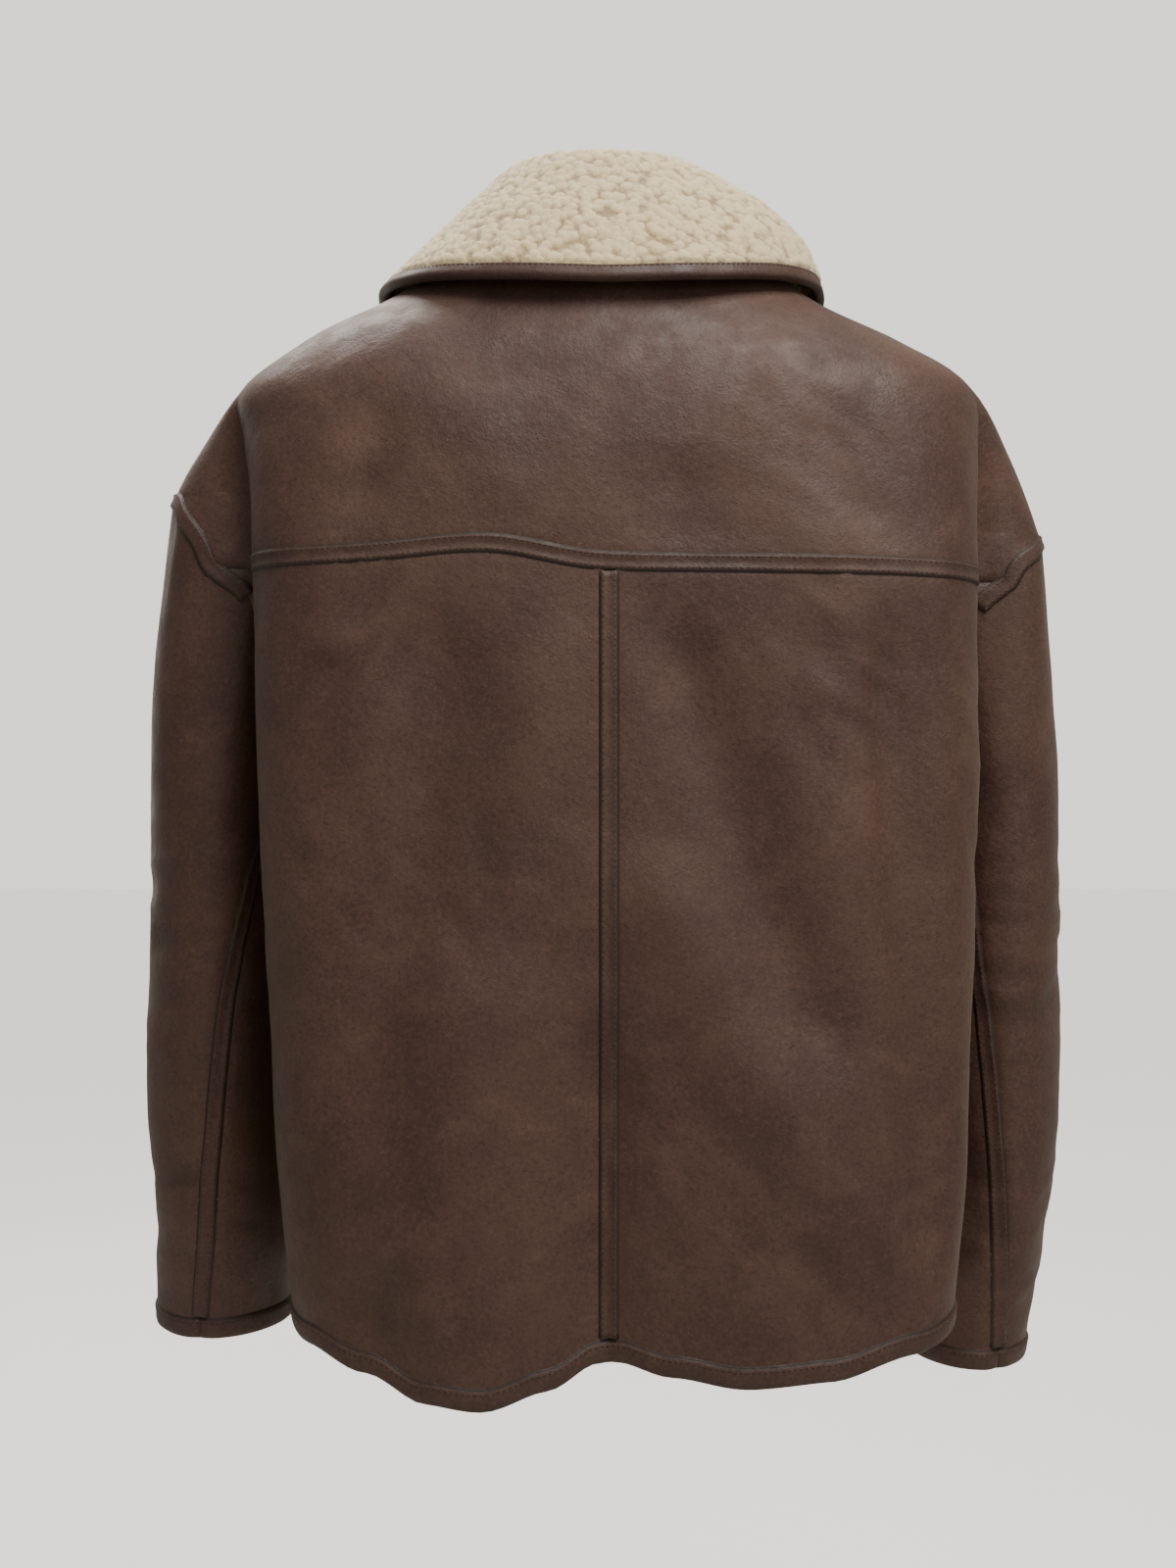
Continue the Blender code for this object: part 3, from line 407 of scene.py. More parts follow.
def row_of(rows: Sequence[Arm], height: float) -> float:
    """The fractional row of an arm table at a height."""
    for low in range(len(rows) - 1):
        if height >= rows[low + 1].z:
            return low + (rows[low].z - height) / (rows[low].z - rows[low + 1].z)
    return len(rows) - 1.0


def finer(values: Sequence[float], counts: Sequence[int]) -> list[float]:
    """The values with more put in between.

    Args:
        values: The values, rising or falling.
        counts: How many steps each interval becomes.

    Returns:
        The longer list, which starts and ends as the given one does.
    """
    made = [values[0]]
    for low, high, count in zip(values, values[1:], counts):
        made += [low + (high - low) * step / count for step in range(1, count + 1)]
    return made


def edged(values: list[float]) -> list[float]:
    """The values with one more close to each end, so that a panel's edge can turn down."""
    start, end = values[0], values[-1]
    return [start, start + (values[1] - start) * 0.35] + values[1:-1] + [end + (values[-2] - end) * 0.35, end]


# ---- The trunk ----


class Trunk:
    """The form that the panels of the trunk lie on."""

    @staticmethod
    def armhole_place(step: float) -> float:
        """The ring at a step down the armhole, closer together at its top and bottom where the seam turns."""
        return ARMHOLE_TOP + (UNDERARM - ARMHOLE_TOP) * (1 - math.cos(math.pi * step / ARMHOLE_STEPS)) / 2

    @staticmethod
    def armhole_at(place: float) -> Armhole:
        """The armhole's row at a ring, on a smooth curve."""
        part = min(max((place - ARMHOLE_TOP) / (UNDERARM - ARMHOLE_TOP), 0.0), 1.0)
        row = ARMHOLE_STEPS * math.acos(1 - 2 * part) / math.pi
        found = through(ARMHOLE, row)
        return found._replace(share=min(max(found.share, 0.0), 1.0))

    @classmethod
    def edge_across(cls, place: float, back: bool) -> float:
        """Where a panel ends across the lobe at a ring."""
        row = cls.armhole_at(place)
        return row.back if back else row.front

    @staticmethod
    def lobe_degrees(across: float) -> float:
        """The plan angle on the left side of a place across the lobe."""
        return LOBE_MIDDLE + across * (LOBE_BACK if across > 0 else LOBE_FRONT)

    @staticmethod
    def fold_height(degrees: float, height: float, radius: float) -> float:
        """How far the folds move the cloth out at a plan angle and height."""
        total = 0.0
        for fold in FOLDS:
            tall = fold.top_z - fold.low_z
            part = (fold.top_z - height) / tall
            if not 0 < part < 1:
                continue
            fade = min(FOLD_FADE, tall / 2.5) / tall
            middle = fold.top_deg + (fold.low_deg - fold.top_deg) * part
            away = (degrees - middle + 180) % 360 - 180
            across = math.radians(away) * radius / fold.wide
            total += fold.height * math.exp(-across * across) * ease(part / fade) * ease((1 - part) / fade)
        return total

    @classmethod
    def point(cls, degrees: float, place: float) -> Vector:
        """The point of the cloth's face at a plan angle (-90 to 270) and ring."""
        ring = through(RINGS, place)
        angle = math.radians(degrees)
        along, across = math.cos(angle), math.sin(angle)
        left = along >= 0
        wide = ring.left_w if left else ring.right_w
        deep = ring.back_y if across >= 0 else ring.front_y
        radius = (abs(along / wide) ** ring.square + abs(across / deep) ** ring.square) ** (-1 / ring.square)
        away = (degrees if -90 <= degrees <= 90 else 180 - degrees) - LOBE_MIDDLE
        out = away / (LOBE_BACK if away > 0 else LOBE_FRONT)
        reach = (ring.left_reach if left else ring.right_reach) - wide
        if abs(out) < 1 and reach > 0:
            radius += reach * (1 - abs(out) ** LOBE_POWER) ** (1 / LOBE_POWER) * cls.armhole_at(place).share
        end_z = ring.back_z if across >= 0 else ring.front_z
        side_z = ring.left_z if left else ring.right_z
        height = side_z + (end_z - side_z) * across * across
        low = ease((place - (HIP - 1)) / (HEM - HIP + 1))
        flat_hem = between(HEM_LINE, degrees if degrees >= -60 else degrees + 360)
        ring_hem = RINGS[HEM].left_z + (RINGS[HEM].back_z - RINGS[HEM].left_z) * across * across
        height += low * (flat_hem - ring_hem)
        rise = (degrees - YOKE_RISE_DEG) / YOKE_RISE_WIDE
        height += YOKE_RISE * math.exp(-rise * rise) * math.exp(-((place - YOKE_SEAM) / 0.9) ** 2)
        radius += cls.fold_height(degrees, height, radius)
        return Vector((radius * along, radius * across, height))

    @classmethod
    def out(cls, degrees: float, place: float) -> Vector:
        """The direction out of the cloth's face."""
        turn, drop = 0.6, 0.03
        round_it = cls.point(degrees + turn, place) - cls.point(degrees - turn, place)
        down_it = cls.point(degrees, min(place + drop, HEM)) - cls.point(degrees, max(place - drop, NECK))
        return down_it.cross(round_it).normalized()

    @classmethod
    def spot(cls, degrees: float, place: float, lapped: bool = False) -> Spot:
        """The face point and the direction out, with the right front's rise where lapped."""
        point, out = cls.point(degrees, place), cls.out(degrees, place)
        if lapped:
            point = point + out * (CLOTH + LAP_CLEAR) * ease((point.x + LAP_HALF + LAP_RAMP) / LAP_RAMP)
        return point, out

    @staticmethod
    def places(first: float, last: float) -> list[float]:
        """The rings of a panel's rows, spaced for its points.

        Args:
            first: The ring it starts at.
            last: The ring it ends at.

        Returns:
            The fractional rings from first to last.
        """
        coarse = [0, 1, 2, 3, 4, 5, 5.5, 6] + [Trunk.armhole_place(step) for step in range(1, 9)]
        coarse += [8.5, 9, 9.5, 10, 10.5, 11, 11.5, 12]
        coarse = [place for place in coarse if first - 1e-6 <= place <= last + 1e-6]
        counts = []
        for low, high in zip(coarse, coarse[1:]):
            drop = abs(through(RINGS, low).back_z - through(RINGS, high).back_z)
            counts.append(max(2, round(drop / FINE)))
        return edged(finer(coarse, counts))

    @staticmethod
    def mirrored(degrees: float, side: Side) -> float:
        """A left plan angle as it is on the given side."""
        return degrees if side is Side.LEFT else 180 - degrees

    @classmethod
    def back_columns(cls, place: float) -> list[float]:
        """Plan angles of the back's columns at a ring, from the centre to the left edge."""
        edge = cls.edge_across(place, True)
        flat = finer(BACK_DEGREES, (7, 7, 7, 7, 6, 5, 4))
        lobe = [cls.lobe_degrees(1 - (1 - edge) * step) for step in finer(LOBE_STEPS, (2, 3, 3, 4))]
        return edged(flat + lobe)

    @classmethod
    def front_columns(cls, place: float) -> list[float]:
        """Plan angles of a front's columns at a ring, from the side to the front edge, as on the left side."""
        edge = cls.edge_across(place, False)
        lobe = [cls.lobe_degrees(-1 + (1 + edge) * step) for step in reversed(finer(LOBE_STEPS, (2, 3, 3, 4)))]
        lap = math.degrees(math.asin(LAP_HALF / -cls.point(-90, place).y))
        flat = finer((*FRONT_DEGREES, -90 + lap, -90 - lap), (5, 5, 6, 6, 6, 5, 8))
        return edged(lobe + flat)


# ---- The sleeves ----


class Sleeve:
    """The form of one sleeve, which hangs from its armhole."""

    def __init__(self, side: Side) -> None:
        self.side = side
        self.table = ARM_LEFT if side is Side.LEFT else ARM_RIGHT
        fine = [step / ARMHOLE_PARTS for step in range(ARMHOLE_STEPS * ARMHOLE_PARTS + 1)]
        self.steps = [(step, False) for step in fine[:0:-1]] + [(step, True) for step in fine]
        self.loop = [self._loop_spot(step, back) for step, back in self.steps]

    def _loop_spot(self, step: float, back: bool) -> Spot:
        place = Trunk.armhole_place(step)
        return Trunk.spot(Trunk.mirrored(Trunk.lobe_degrees(Trunk.edge_across(place, back)), self.side), place)

    def _dent(self, height: float, degrees: float) -> float:
        total = 0.0
        for dent in DENTS:
            if dent.side == self.side.value:
                away = ((degrees - dent.deg + 180) % 360 - 180) / dent.wide
                along = (height - dent.z) / dent.tall
                total += dent.height * math.exp(-away * away - along * along)
        return total

    def grid(self) -> list[list[Vector]]:
        """The sleeve's face, a column for each point of the armhole, from the armhole to the cuff."""
        count = len(self.loop) - 1
        side = self.side.value
        shares = edged(finer((0, 0.09, 0.27, 0.5, 0.74, 1.0), (10, 18, 23, 24, 26)))
        grid = []
        for step, (point, out) in enumerate(self.loop):
            ahead = self.loop[min(step + 1, count)][0] - self.loop[max(step - 1, 0)][0]
            down = out.cross(ahead).normalized()
            down = -down if down.z > 0 else down
            folded = ease(self.steps[step][0] - 5)
            top = point + out * UNDERARM_CLEAR * folded + down * 0.0003 * (1 - folded)
            arm = through(self.table, row_of(self.table, top.z))
            start = math.degrees(math.atan2((top.y - arm.y) / arm.deep, (top.x * side - arm.x) / arm.wide))
            start_turn = {0: 0.0, count: 360.0}.get(step, (start - arm.seam_deg) % 360)
            offset = Vector((top.x - side * arm.x, top.y - arm.y))
            spots = []
            for share in shares:
                height = top.z + (self.table[-1].z - top.z) * share
                arm = through(self.table, row_of(self.table, height))
                eased = ease((top.z - height) / SLEEVE_EASE)
                degrees = arm.seam_deg + start_turn + (360.0 * step / count - start_turn) * eased
                angle = math.radians(degrees)
                swell = self._dent(height, degrees) * eased
                tube = Vector((side * (arm.wide + swell) * math.cos(angle), (arm.deep + swell) * math.sin(angle)))
                spot = offset + (tube - offset) * eased
                spots.append(Vector((side * arm.x + spot.x, arm.y + spot.y, height)))
            grid.append(spots)
        return grid


# ---- Materials ----


class Graph:
    """Short ways to make a material's nodes."""

    def __init__(self, name: str) -> None:
        self.material = bpy.data.materials.new(name)
        self.material.use_nodes = True
        self.tree = self.material.node_tree
        self.shader = self.tree.nodes["Principled BSDF"]
        self.place = self.tree.nodes.new("ShaderNodeTexCoord").outputs["Object"]

    def node(self, kind: str, inputs: dict | None = None, **settings) -> bpy.types.Node:
        """A node with its inputs linked or set.

        Args:
            kind: The node's type.
            inputs: Socket name or index to an output socket or a constant.
            **settings: The node's own properties.

        Returns:
            The node.
        """
        made = self.tree.nodes.new(kind)
        for name, value in settings.items():
            setattr(made, name, value)
        for name, value in (inputs or {}).items():
            self.into(made.inputs[name], value)
        return made

    def into(self, socket: Socket, value: object) -> None:
        """Links an output to a socket, or sets the socket's constant."""
        if isinstance(value, Socket):
            self.tree.links.new(value, socket)
        else:
            socket.default_value = value

    def noise(self, scale: float, detail: float = 3.0, rough: float = 0.55) -> Socket:
        """Soft noise over the object, at so many to the metre."""
        return self.node(
            "ShaderNodeTexNoise", {"Vector": self.place, "Scale": scale, "Detail": detail, "Roughness": rough}
        ).outputs["Fac"]

    def cells(self, scale: float) -> Socket:
        """Distance in a pattern of cells over the object."""
        return self.node("ShaderNodeTexVoronoi", {"Vector": self.place, "Scale": scale}).outputs["Distance"]

    def ramp(
        self, value: Socket, low: float, high: float, to: tuple[float, float] = (0.0, 1.0)
    ) -> Socket:
        """The value eased from low..high to another range."""
        return self.node(
            "ShaderNodeMapRange",
            {"Value": value, "From Min": low, "From Max": high, "To Min": to[0], "To Max": to[1]},
            interpolation_type="SMOOTHSTEP",
        ).outputs["Result"]

    def mix(self, part: object, first: object, second: object, blend: str = "MIX") -> Socket:
        """One colour over another."""
        made = self.node("ShaderNodeMix", data_type="RGBA", blend_type=blend)
        for name, value in (("Factor", part), ("A", first), ("B", second)):
            kind = "VALUE" if name == "Factor" else "RGBA"
            self.into(next(s for s in made.inputs if s.name == name and s.type == kind), value)
        return next(s for s in made.outputs if s.type == "RGBA")

    def bump(
        self, height: Socket, strength: float, distance: float, normal: object = None
    ) -> Socket:
        """A bump over the one given."""
        inputs = {"Height": height, "Strength": strength, "Distance": distance}
        if normal is not None:
            inputs["Normal"] = normal
        return self.node("ShaderNodeBump", inputs).outputs["Normal"]

    def attribute(self, name: str) -> Socket:
        """A number painted on the mesh."""
        return self.node("ShaderNodeAttribute", attribute_name=name).outputs["Fac"]

    def finish(self, **values: object) -> Material:
        """Sets the shader's inputs, named with _ for a space, and returns the material."""
        for name, value in values.items():
            self.into(self.shader.inputs[name.replace("_", " ")], value)
        return self.material


@dataclass(frozen=True)
class LeatherFinish:
    """Brown leather-look face: soft mottling, a fine pebble grain and small creases. It is paler on the crease crests,
    partly wear and partly painted highlight, and darker in the crease troughs and along sewn edges, which is painted
    shade.
    """

    name: str
    deep: Colour = (0.058, 0.026, 0.018, 1.0)
    base: Colour = (0.080, 0.038, 0.026, 1.0)
    # The paler tone: random rubbed patches and grain, and on crease crests also a painted highlight.
    rubbed_and_lit: Colour = (0.125, 0.066, 0.047, 1.0)
    # The darkest tone: the grain's pores, and painted shade in crease troughs, at seams and beside strips and
    # bindings.
    dark: Colour = (0.020, 0.010, 0.007, 1.0)
    grain: float = 720.0
    ochre: Colour = (0.080, 0.048, 0.026, 1.0)
    rough: tuple[float, float] = (0.50, 0.66)

    def build(self) -> Material:
        """The material."""
        graph = Graph(self.name)
        cloudy = graph.ramp(graph.noise(13.0, 4.0), 0.36, 0.66)
        speckled = graph.ramp(graph.noise(75.0, 5.0, 0.65), 0.35, 0.70)
        colour = graph.mix(cloudy, self.deep, self.base)
        colour = graph.mix(graph.ramp(graph.noise(38.0, 4.0), 0.45, 0.75, (0.0, 0.42)), colour, self.rubbed_and_lit)
        colour = graph.mix(graph.ramp(speckled, 0.0, 1.0, (0.0, 0.30)), colour, self.deep)
        colour = graph.mix(graph.ramp(graph.noise(7.0, 2.0), 0.45, 0.62, (0.0, 0.16)), colour, self.ochre)
        fine = graph.noise(430.0, 4.0, 0.72)
        colour = graph.mix(graph.ramp(fine, 0.50, 0.72, (0.0, 0.50)), colour, self.rubbed_and_lit)
        colour = graph.mix(graph.ramp(fine, 0.28, 0.50, (0.60, 0.0)), colour, self.dark)
        # The value painted on the mesh: above 0.5 it turns towards the paler tone, as wear and painted highlight on
        # crests; below 0.5 it turns towards dark, as painted shade in troughs, at seams and beside strips and
        # bindings.
        painted_shading = graph.attribute("painted_shading")
        colour = graph.mix(graph.ramp(painted_shading, 0.50, 1.0, (0.0, 0.55)), colour, self.rubbed_and_lit)
        colour = graph.mix(graph.ramp(painted_shading, 0.0, 0.48, (0.85, 0.0)), colour, self.dark)
        soft = graph.bump(graph.noise(58.0, 6.0, 0.62), 0.55, 0.0016)
        crease = graph.bump(graph.noise(210.0, 4.0, 0.6), 0.42, 0.0006, soft)
        grain = graph.bump(graph.cells(self.grain), 0.30, 0.00035, crease)
        rough = graph.ramp(graph.noise(50.0, 4.0), 0.3, 0.7, self.rough)
        return graph.finish(
            Base_Color=colour, Roughness=rough, Normal=grain, Specular_IOR_Level=0.42, Sheen_Weight=0.10,
            Sheen_Roughness=0.45, Sheen_Tint=(0.75, 0.62, 0.52, 1.0),
        )


@dataclass(frozen=True)
class PileFinish:
    """Curly cream pile: paler on the tops of its nubs and darker down between them, which is painted shade."""

    name: str
    # low is painted shade down between the nubs; high is the paler top of a nub.
    low: Colour = (0.30, 0.195, 0.085, 1.0)
    high: Colour = (0.80, 0.645, 0.370, 1.0)
    tip: Colour = (0.93, 0.83, 0.62, 1.0)
    cloud: Colour = (0.66, 0.50, 0.29, 1.0)
    carved: bool = False

    def build(self) -> Material:
        """The material."""
        graph = Graph(self.name)
        # How high the pile stands here, from the value painted on the carved mesh or from a cell pattern. Low places
        # are painted dark as shade between the nubs.
        nub = graph.attribute("painted_shading") if self.carved else graph.ramp(graph.cells(165.0), 0.62, 0.05)
        fibre = graph.noise(900.0, 3.0, 0.7)
        part = graph.ramp(nub, 0.05, 0.72)
        colour = graph.mix(part, self.low, self.high)
        colour = graph.mix(graph.ramp(fibre, 0.35, 0.75, (0.0, 0.30)), colour, self.tip)
        colour = graph.mix(graph.ramp(graph.noise(60.0, 3.0), 0.40, 0.75, (0.0, 0.22)), colour, self.cloud)
        normal = graph.bump(fibre, 0.65, 0.0008)
        if not self.carved:
            normal = graph.bump(nub, 0.9, 0.0030, normal)
        return graph.finish(
            Base_Color=colour, Roughness=0.92, Normal=normal, Specular_IOR_Level=0.20, Sheen_Weight=0.45,
            Sheen_Roughness=0.6, Sheen_Tint=(1.0, 0.94, 0.82, 1.0), Subsurface_Weight=0.12, Subsurface_Scale=0.004,
        )


@dataclass(frozen=True)
class HornFinish:
    """Dark horn, with cloudy streaks and a satin face."""

    name: str
    dark: Colour = (0.030, 0.017, 0.011, 1.0)
    pale: Colour = (0.120, 0.070, 0.040, 1.0)

    def build(self) -> Material:
        """The material."""
        graph = Graph(self.name)
        streaks = graph.node("ShaderNodeMapping", {"Vector": graph.place, "Scale": (90.0, 400.0, 260.0)}).outputs[0]
        cloud = graph.node("ShaderNodeTexNoise", {"Vector": streaks, "Scale": 1.0, "Detail": 4.0}).outputs["Fac"]
        colour = graph.mix(graph.ramp(cloud, 0.4, 0.7), self.dark, self.pale)
        normal = graph.bump(graph.noise(700.0, 3.0), 0.10, 0.0002)
        return graph.finish(Base_Color=colour, Roughness=0.34, Normal=normal, Specular_IOR_Level=0.5)


@dataclass(frozen=True)
class ThreadFinish:
    """Tone-on-tone sewing thread."""

    name: str
    dark: Colour = (0.042, 0.024, 0.017, 1.0)
    pale: Colour = (0.085, 0.052, 0.038, 1.0)

    def build(self) -> Material:
        """The material."""
        graph = Graph(self.name)
        colour = graph.mix(graph.ramp(graph.noise(2500.0), 0.4, 0.7), self.dark, self.pale)
        return graph.finish(Base_Color=colour, Roughness=0.7, Specular_IOR_Level=0.3)


class Finishes:
    """Every material, made once."""

    def __init__(self) -> None:
        self.face = LeatherFinish("leather_face_grained").build()
        self.trim = LeatherFinish(
            "leather_trim_grained",
            deep=(0.048, 0.022, 0.016, 1.0),
            base=(0.066, 0.031, 0.022, 1.0),
            rubbed_and_lit=(0.112, 0.060, 0.043, 1.0),
            grain=820.0,
        ).build()
        self.pile = PileFinish("sherpa_pile_curled", carved=True).build()
        self.lining = PileFinish("sherpa_pile_lining").build()
        self.horn = HornFinish("button_horn_streaked").build()
        self.thread = ThreadFinish("thread_brown").build()


# ---- Making meshes ----


def relief(point: Vector) -> float:
    """The height of the small creases over the form at a point.

    Args:
        point: A point of the cloth's face.

    Returns:
        Metres out of the face.
    """
    broad = noise.noise(Vector((point.x * 13, point.y * 13, point.z * 9 + 3.1))) * 0.0017
    middle = noise.noise(Vector((point.x * 34, point.y * 34, point.z * 21 + 7.7))) * 0.0008
    total = broad + middle
    for crease in CREASES:
        away = math.dist(point, (crease.x, crease.y, crease.z)) / crease.size
        if away > 2.2:
            continue
        lean = math.radians(crease.lean)
        side = point.x - crease.x if abs(crease.x) < SLEEVE_X else point.y - crease.y
        level = point.z - crease.z
        along = side * math.cos(lean) + level * math.sin(lean)
        across = -side * math.sin(lean) + level * math.cos(lean)
        wave = noise.noise(Vector((along / crease.step / 3.2, across / crease.step, crease.z * 40)))
        total += crease.height * (1 - abs(wave) * 3.2) * math.exp(-away * away)
    return total


def gridded(columns: int, rows: int) -> tuple[Mesh, Layer, Layer]:
    """A flat grid of vertices.

    Args:
        columns: How many columns.
        rows: How many vertices in each.

    Returns:
        The mesh, and its layers for a vertex's number, column by column, and for its painted shading and wear.
    """
    mesh = bmesh.new()
    bmesh.ops.create_grid(mesh, x_segments=columns - 1, y_segments=rows - 1, size=1)
    number = mesh.verts.layers.int.new("number")
    painted_shading = mesh.verts.layers.float.new("painted_shading")
    for vert in mesh.verts:
        column = round((vert.co.x + 1) / 2 * (columns - 1))
        vert[number] = column * rows + round((vert.co.y + 1) / 2 * (rows - 1))
    return mesh, number, painted_shading


class Skin:
    """A sheet's face as a grid of vertices, each with the direction out."""

    def __init__(self, points: list[list[Vector]], outward: Callable[[Vector], Vector]) -> None:
        """
        Args:
            points: Columns of points.
            outward: A rough direction out at a point, which settles which way the sheet faces.
        """
        self.columns, self.rows = len(points), len(points[0])
        self.mesh, self.number, self.painted_shading = gridded(self.columns, self.rows)
        for vert in self.mesh.verts:
            column, row = divmod(vert[self.number], self.rows)
            vert.co = points[column][row]
            vert[self.painted_shading] = 0.5
        self.mesh.normal_update()
        middle = next(v for v in self.mesh.verts if v[self.number] == (self.columns // 2) * self.rows + self.rows // 2)
        if middle.normal.dot(outward(middle.co)) < 0:
            bmesh.ops.reverse_faces(self.mesh, faces=self.mesh.faces[:])
            self.mesh.normal_update()

    def push(self, height: Callable[[Vector], float], wear_and_shading: float = 0.0) -> None:
        """Moves the points out by a height. For each metre of it, the high ones are marked paler, as wear and painted
        highlight, and the low ones darker, as painted shade.
        """
        moves = [(vert, height(vert.co)) for vert in self.mesh.verts]
        normals = [vert.normal.copy() for vert in self.mesh.verts]
        for (vert, high), normal in zip(moves, normals):
            vert.co += normal * high
            vert[self.painted_shading] = min(max(vert[self.painted_shading] + high * wear_and_shading, 0.0), 1.0)
        self.mesh.normal_update()

    def tuck(self, edges: str) -> None:
        """Turns the sheet's edges down a little, where it is sewn, and paints them darker there as shade."""
        for vert in self.mesh.verts:
            column, row = divmod(vert[self.number], self.rows)
            steps = {"first": column, "last": self.columns - 1 - column, "top": row, "low": self.rows - 1 - row}
            away = min(steps[edge] for edge in edges.split())
            if away < len(TUCKS):
                drop, vert[self.painted_shading] = TUCKS[away]
                vert.co -= vert.normal * drop
        self.mesh.normal_update()

    def spots(self) -> list[list[Spot]]:
        """The face's points and directions out, by column."""
        found: list[list[Spot]] = [[(Vector(), Vector())] * self.rows for _ in range(self.columns)]
        for vert in self.mesh.verts:
            column, row = divmod(vert[self.number], self.rows)
            found[column][row] = (vert.co.copy(), vert.normal.copy())
        return found

    def thicken(self, thick: float) -> None:
        """Gives the sheet its back, whose faces take the second material."""
        normals = {vert[self.number]: vert.normal.copy() for vert in self.mesh.verts}
        for edge in self.mesh.edges:
            edge.smooth = not edge.is_boundary
        copied = bmesh.ops.extrude_face_region(self.mesh, geom=self.mesh.faces[:], use_keep_orig=True)
        raised = {item for item in copied["geom"] if isinstance(item, bmesh.types.BMVert)}
        for vert in raised:
            vert.co -= normals[vert[self.number]] * thick
        for face in self.mesh.faces:
            face.material_index = 1 if all(vert in raised for vert in face.verts) else 0
        bmesh.ops.recalc_face_normals(self.mesh, faces=self.mesh.faces[:])


def finished(name: str, mesh: Mesh, materials: Sequence[Material]) -> Piece:
    """An object of a bmesh, smooth shaded, at the origin.

    Args:
        name: The piece's name.
        mesh: Its mesh, which is freed.
        materials: Its materials, in the order of its faces' indices.

    Returns:
        The object, riding on the jacket's one body.
    """
    for face in mesh.faces:
        face.smooth = True
    if mesh.calc_volume(signed=True) < 0 and not any(edge.is_boundary for edge in mesh.edges):
        bmesh.ops.reverse_faces(mesh, faces=mesh.faces[:])
    data = bpy.data.meshes.new(name)
    mesh.to_mesh(data)
    mesh.free()
    for one in materials:
        data.materials.append(one)
    made = bpy.data.objects.new(name, data)
    bpy.context.scene.collection.objects.link(made)
    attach(made, "root")
    LOG.info("%s: %d faces", name, len(data.polygons))
    return made


def trimmed(piece: Piece, node: str | None = None) -> Piece:
    """The piece as it is; where a node is given, that node of the frame is hidden, as the piece stands for it."""
    if node:
        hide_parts(node)
    return piece


def tree_of(pieces: Sequence[Piece]) -> BVHTree:
    """A tree of some pieces' facets, for laying others on them."""
    points: list[Vector] = []
    faces: list[list[int]] = []
    for piece in pieces:
        start = len(points)
        points.extend(vert.co.copy() for vert in piece.data.vertices)
        faces.extend([start + corner for corner in face.vertices] for face in piece.data.polygons)
    return BVHTree.FromPolygons(points, faces)


def evenly(path: Sequence[Spot], step: float) -> list[Spot]:
    """The path again, with its spots so far apart."""
    lengths = [0.0]
    for (start, _), (end, _) in zip(path, path[1:]):
        lengths.append(lengths[-1] + (end - start).length)
    count = max(2, round(lengths[-1] / step))
    made, low = [], 0
    for place in range(count + 1):
        at = lengths[-1] * place / count
        while low < len(path) - 2 and lengths[low + 1] < at:
            low += 1
        part = (at - lengths[low]) / max(lengths[low + 1] - lengths[low], 1e-9)
        made.append(
            (path[low][0].lerp(path[low + 1][0], part), path[low][1].lerp(path[low + 1][1], part).normalized())
        )
    return made


def banded(
    name: str,
    lines: list[list[Vector]],
    unders: list[list[Vector]],
    wear_and_shading: Sequence[float],
    materials: Sequence[Material],
) -> Piece:
    """A closed band between two skins of sections.

    Args:
        name: The piece's name.
        lines: The upper skin, a section at each step along it.
        unders: The lower skin.
        wear_and_shading: How pale or dark each place across the section is painted, 0.5 for plain.
        materials: The band's materials.

    Returns:
        The piece.
    """
    across = len(lines[0])
    mesh, number, painted_shading = gridded(len(lines), across)
    for vert in mesh.verts:
        vert[painted_shading] = wear_and_shading[vert[number] % across]
    copied = bmesh.ops.extrude_face_region(mesh, geom=mesh.faces[:], use_keep_orig=True)
    raised = {item for item in copied["geom"] if isinstance(item, bmesh.types.BMVert)}
    for vert in mesh.verts:
        step, at = divmod(vert[number], across)
        vert.co = (unders if vert in raised else lines)[step][at]
    bmesh.ops.recalc_face_normals(mesh, faces=mesh.faces[:])
    return finished(name, mesh, materials)


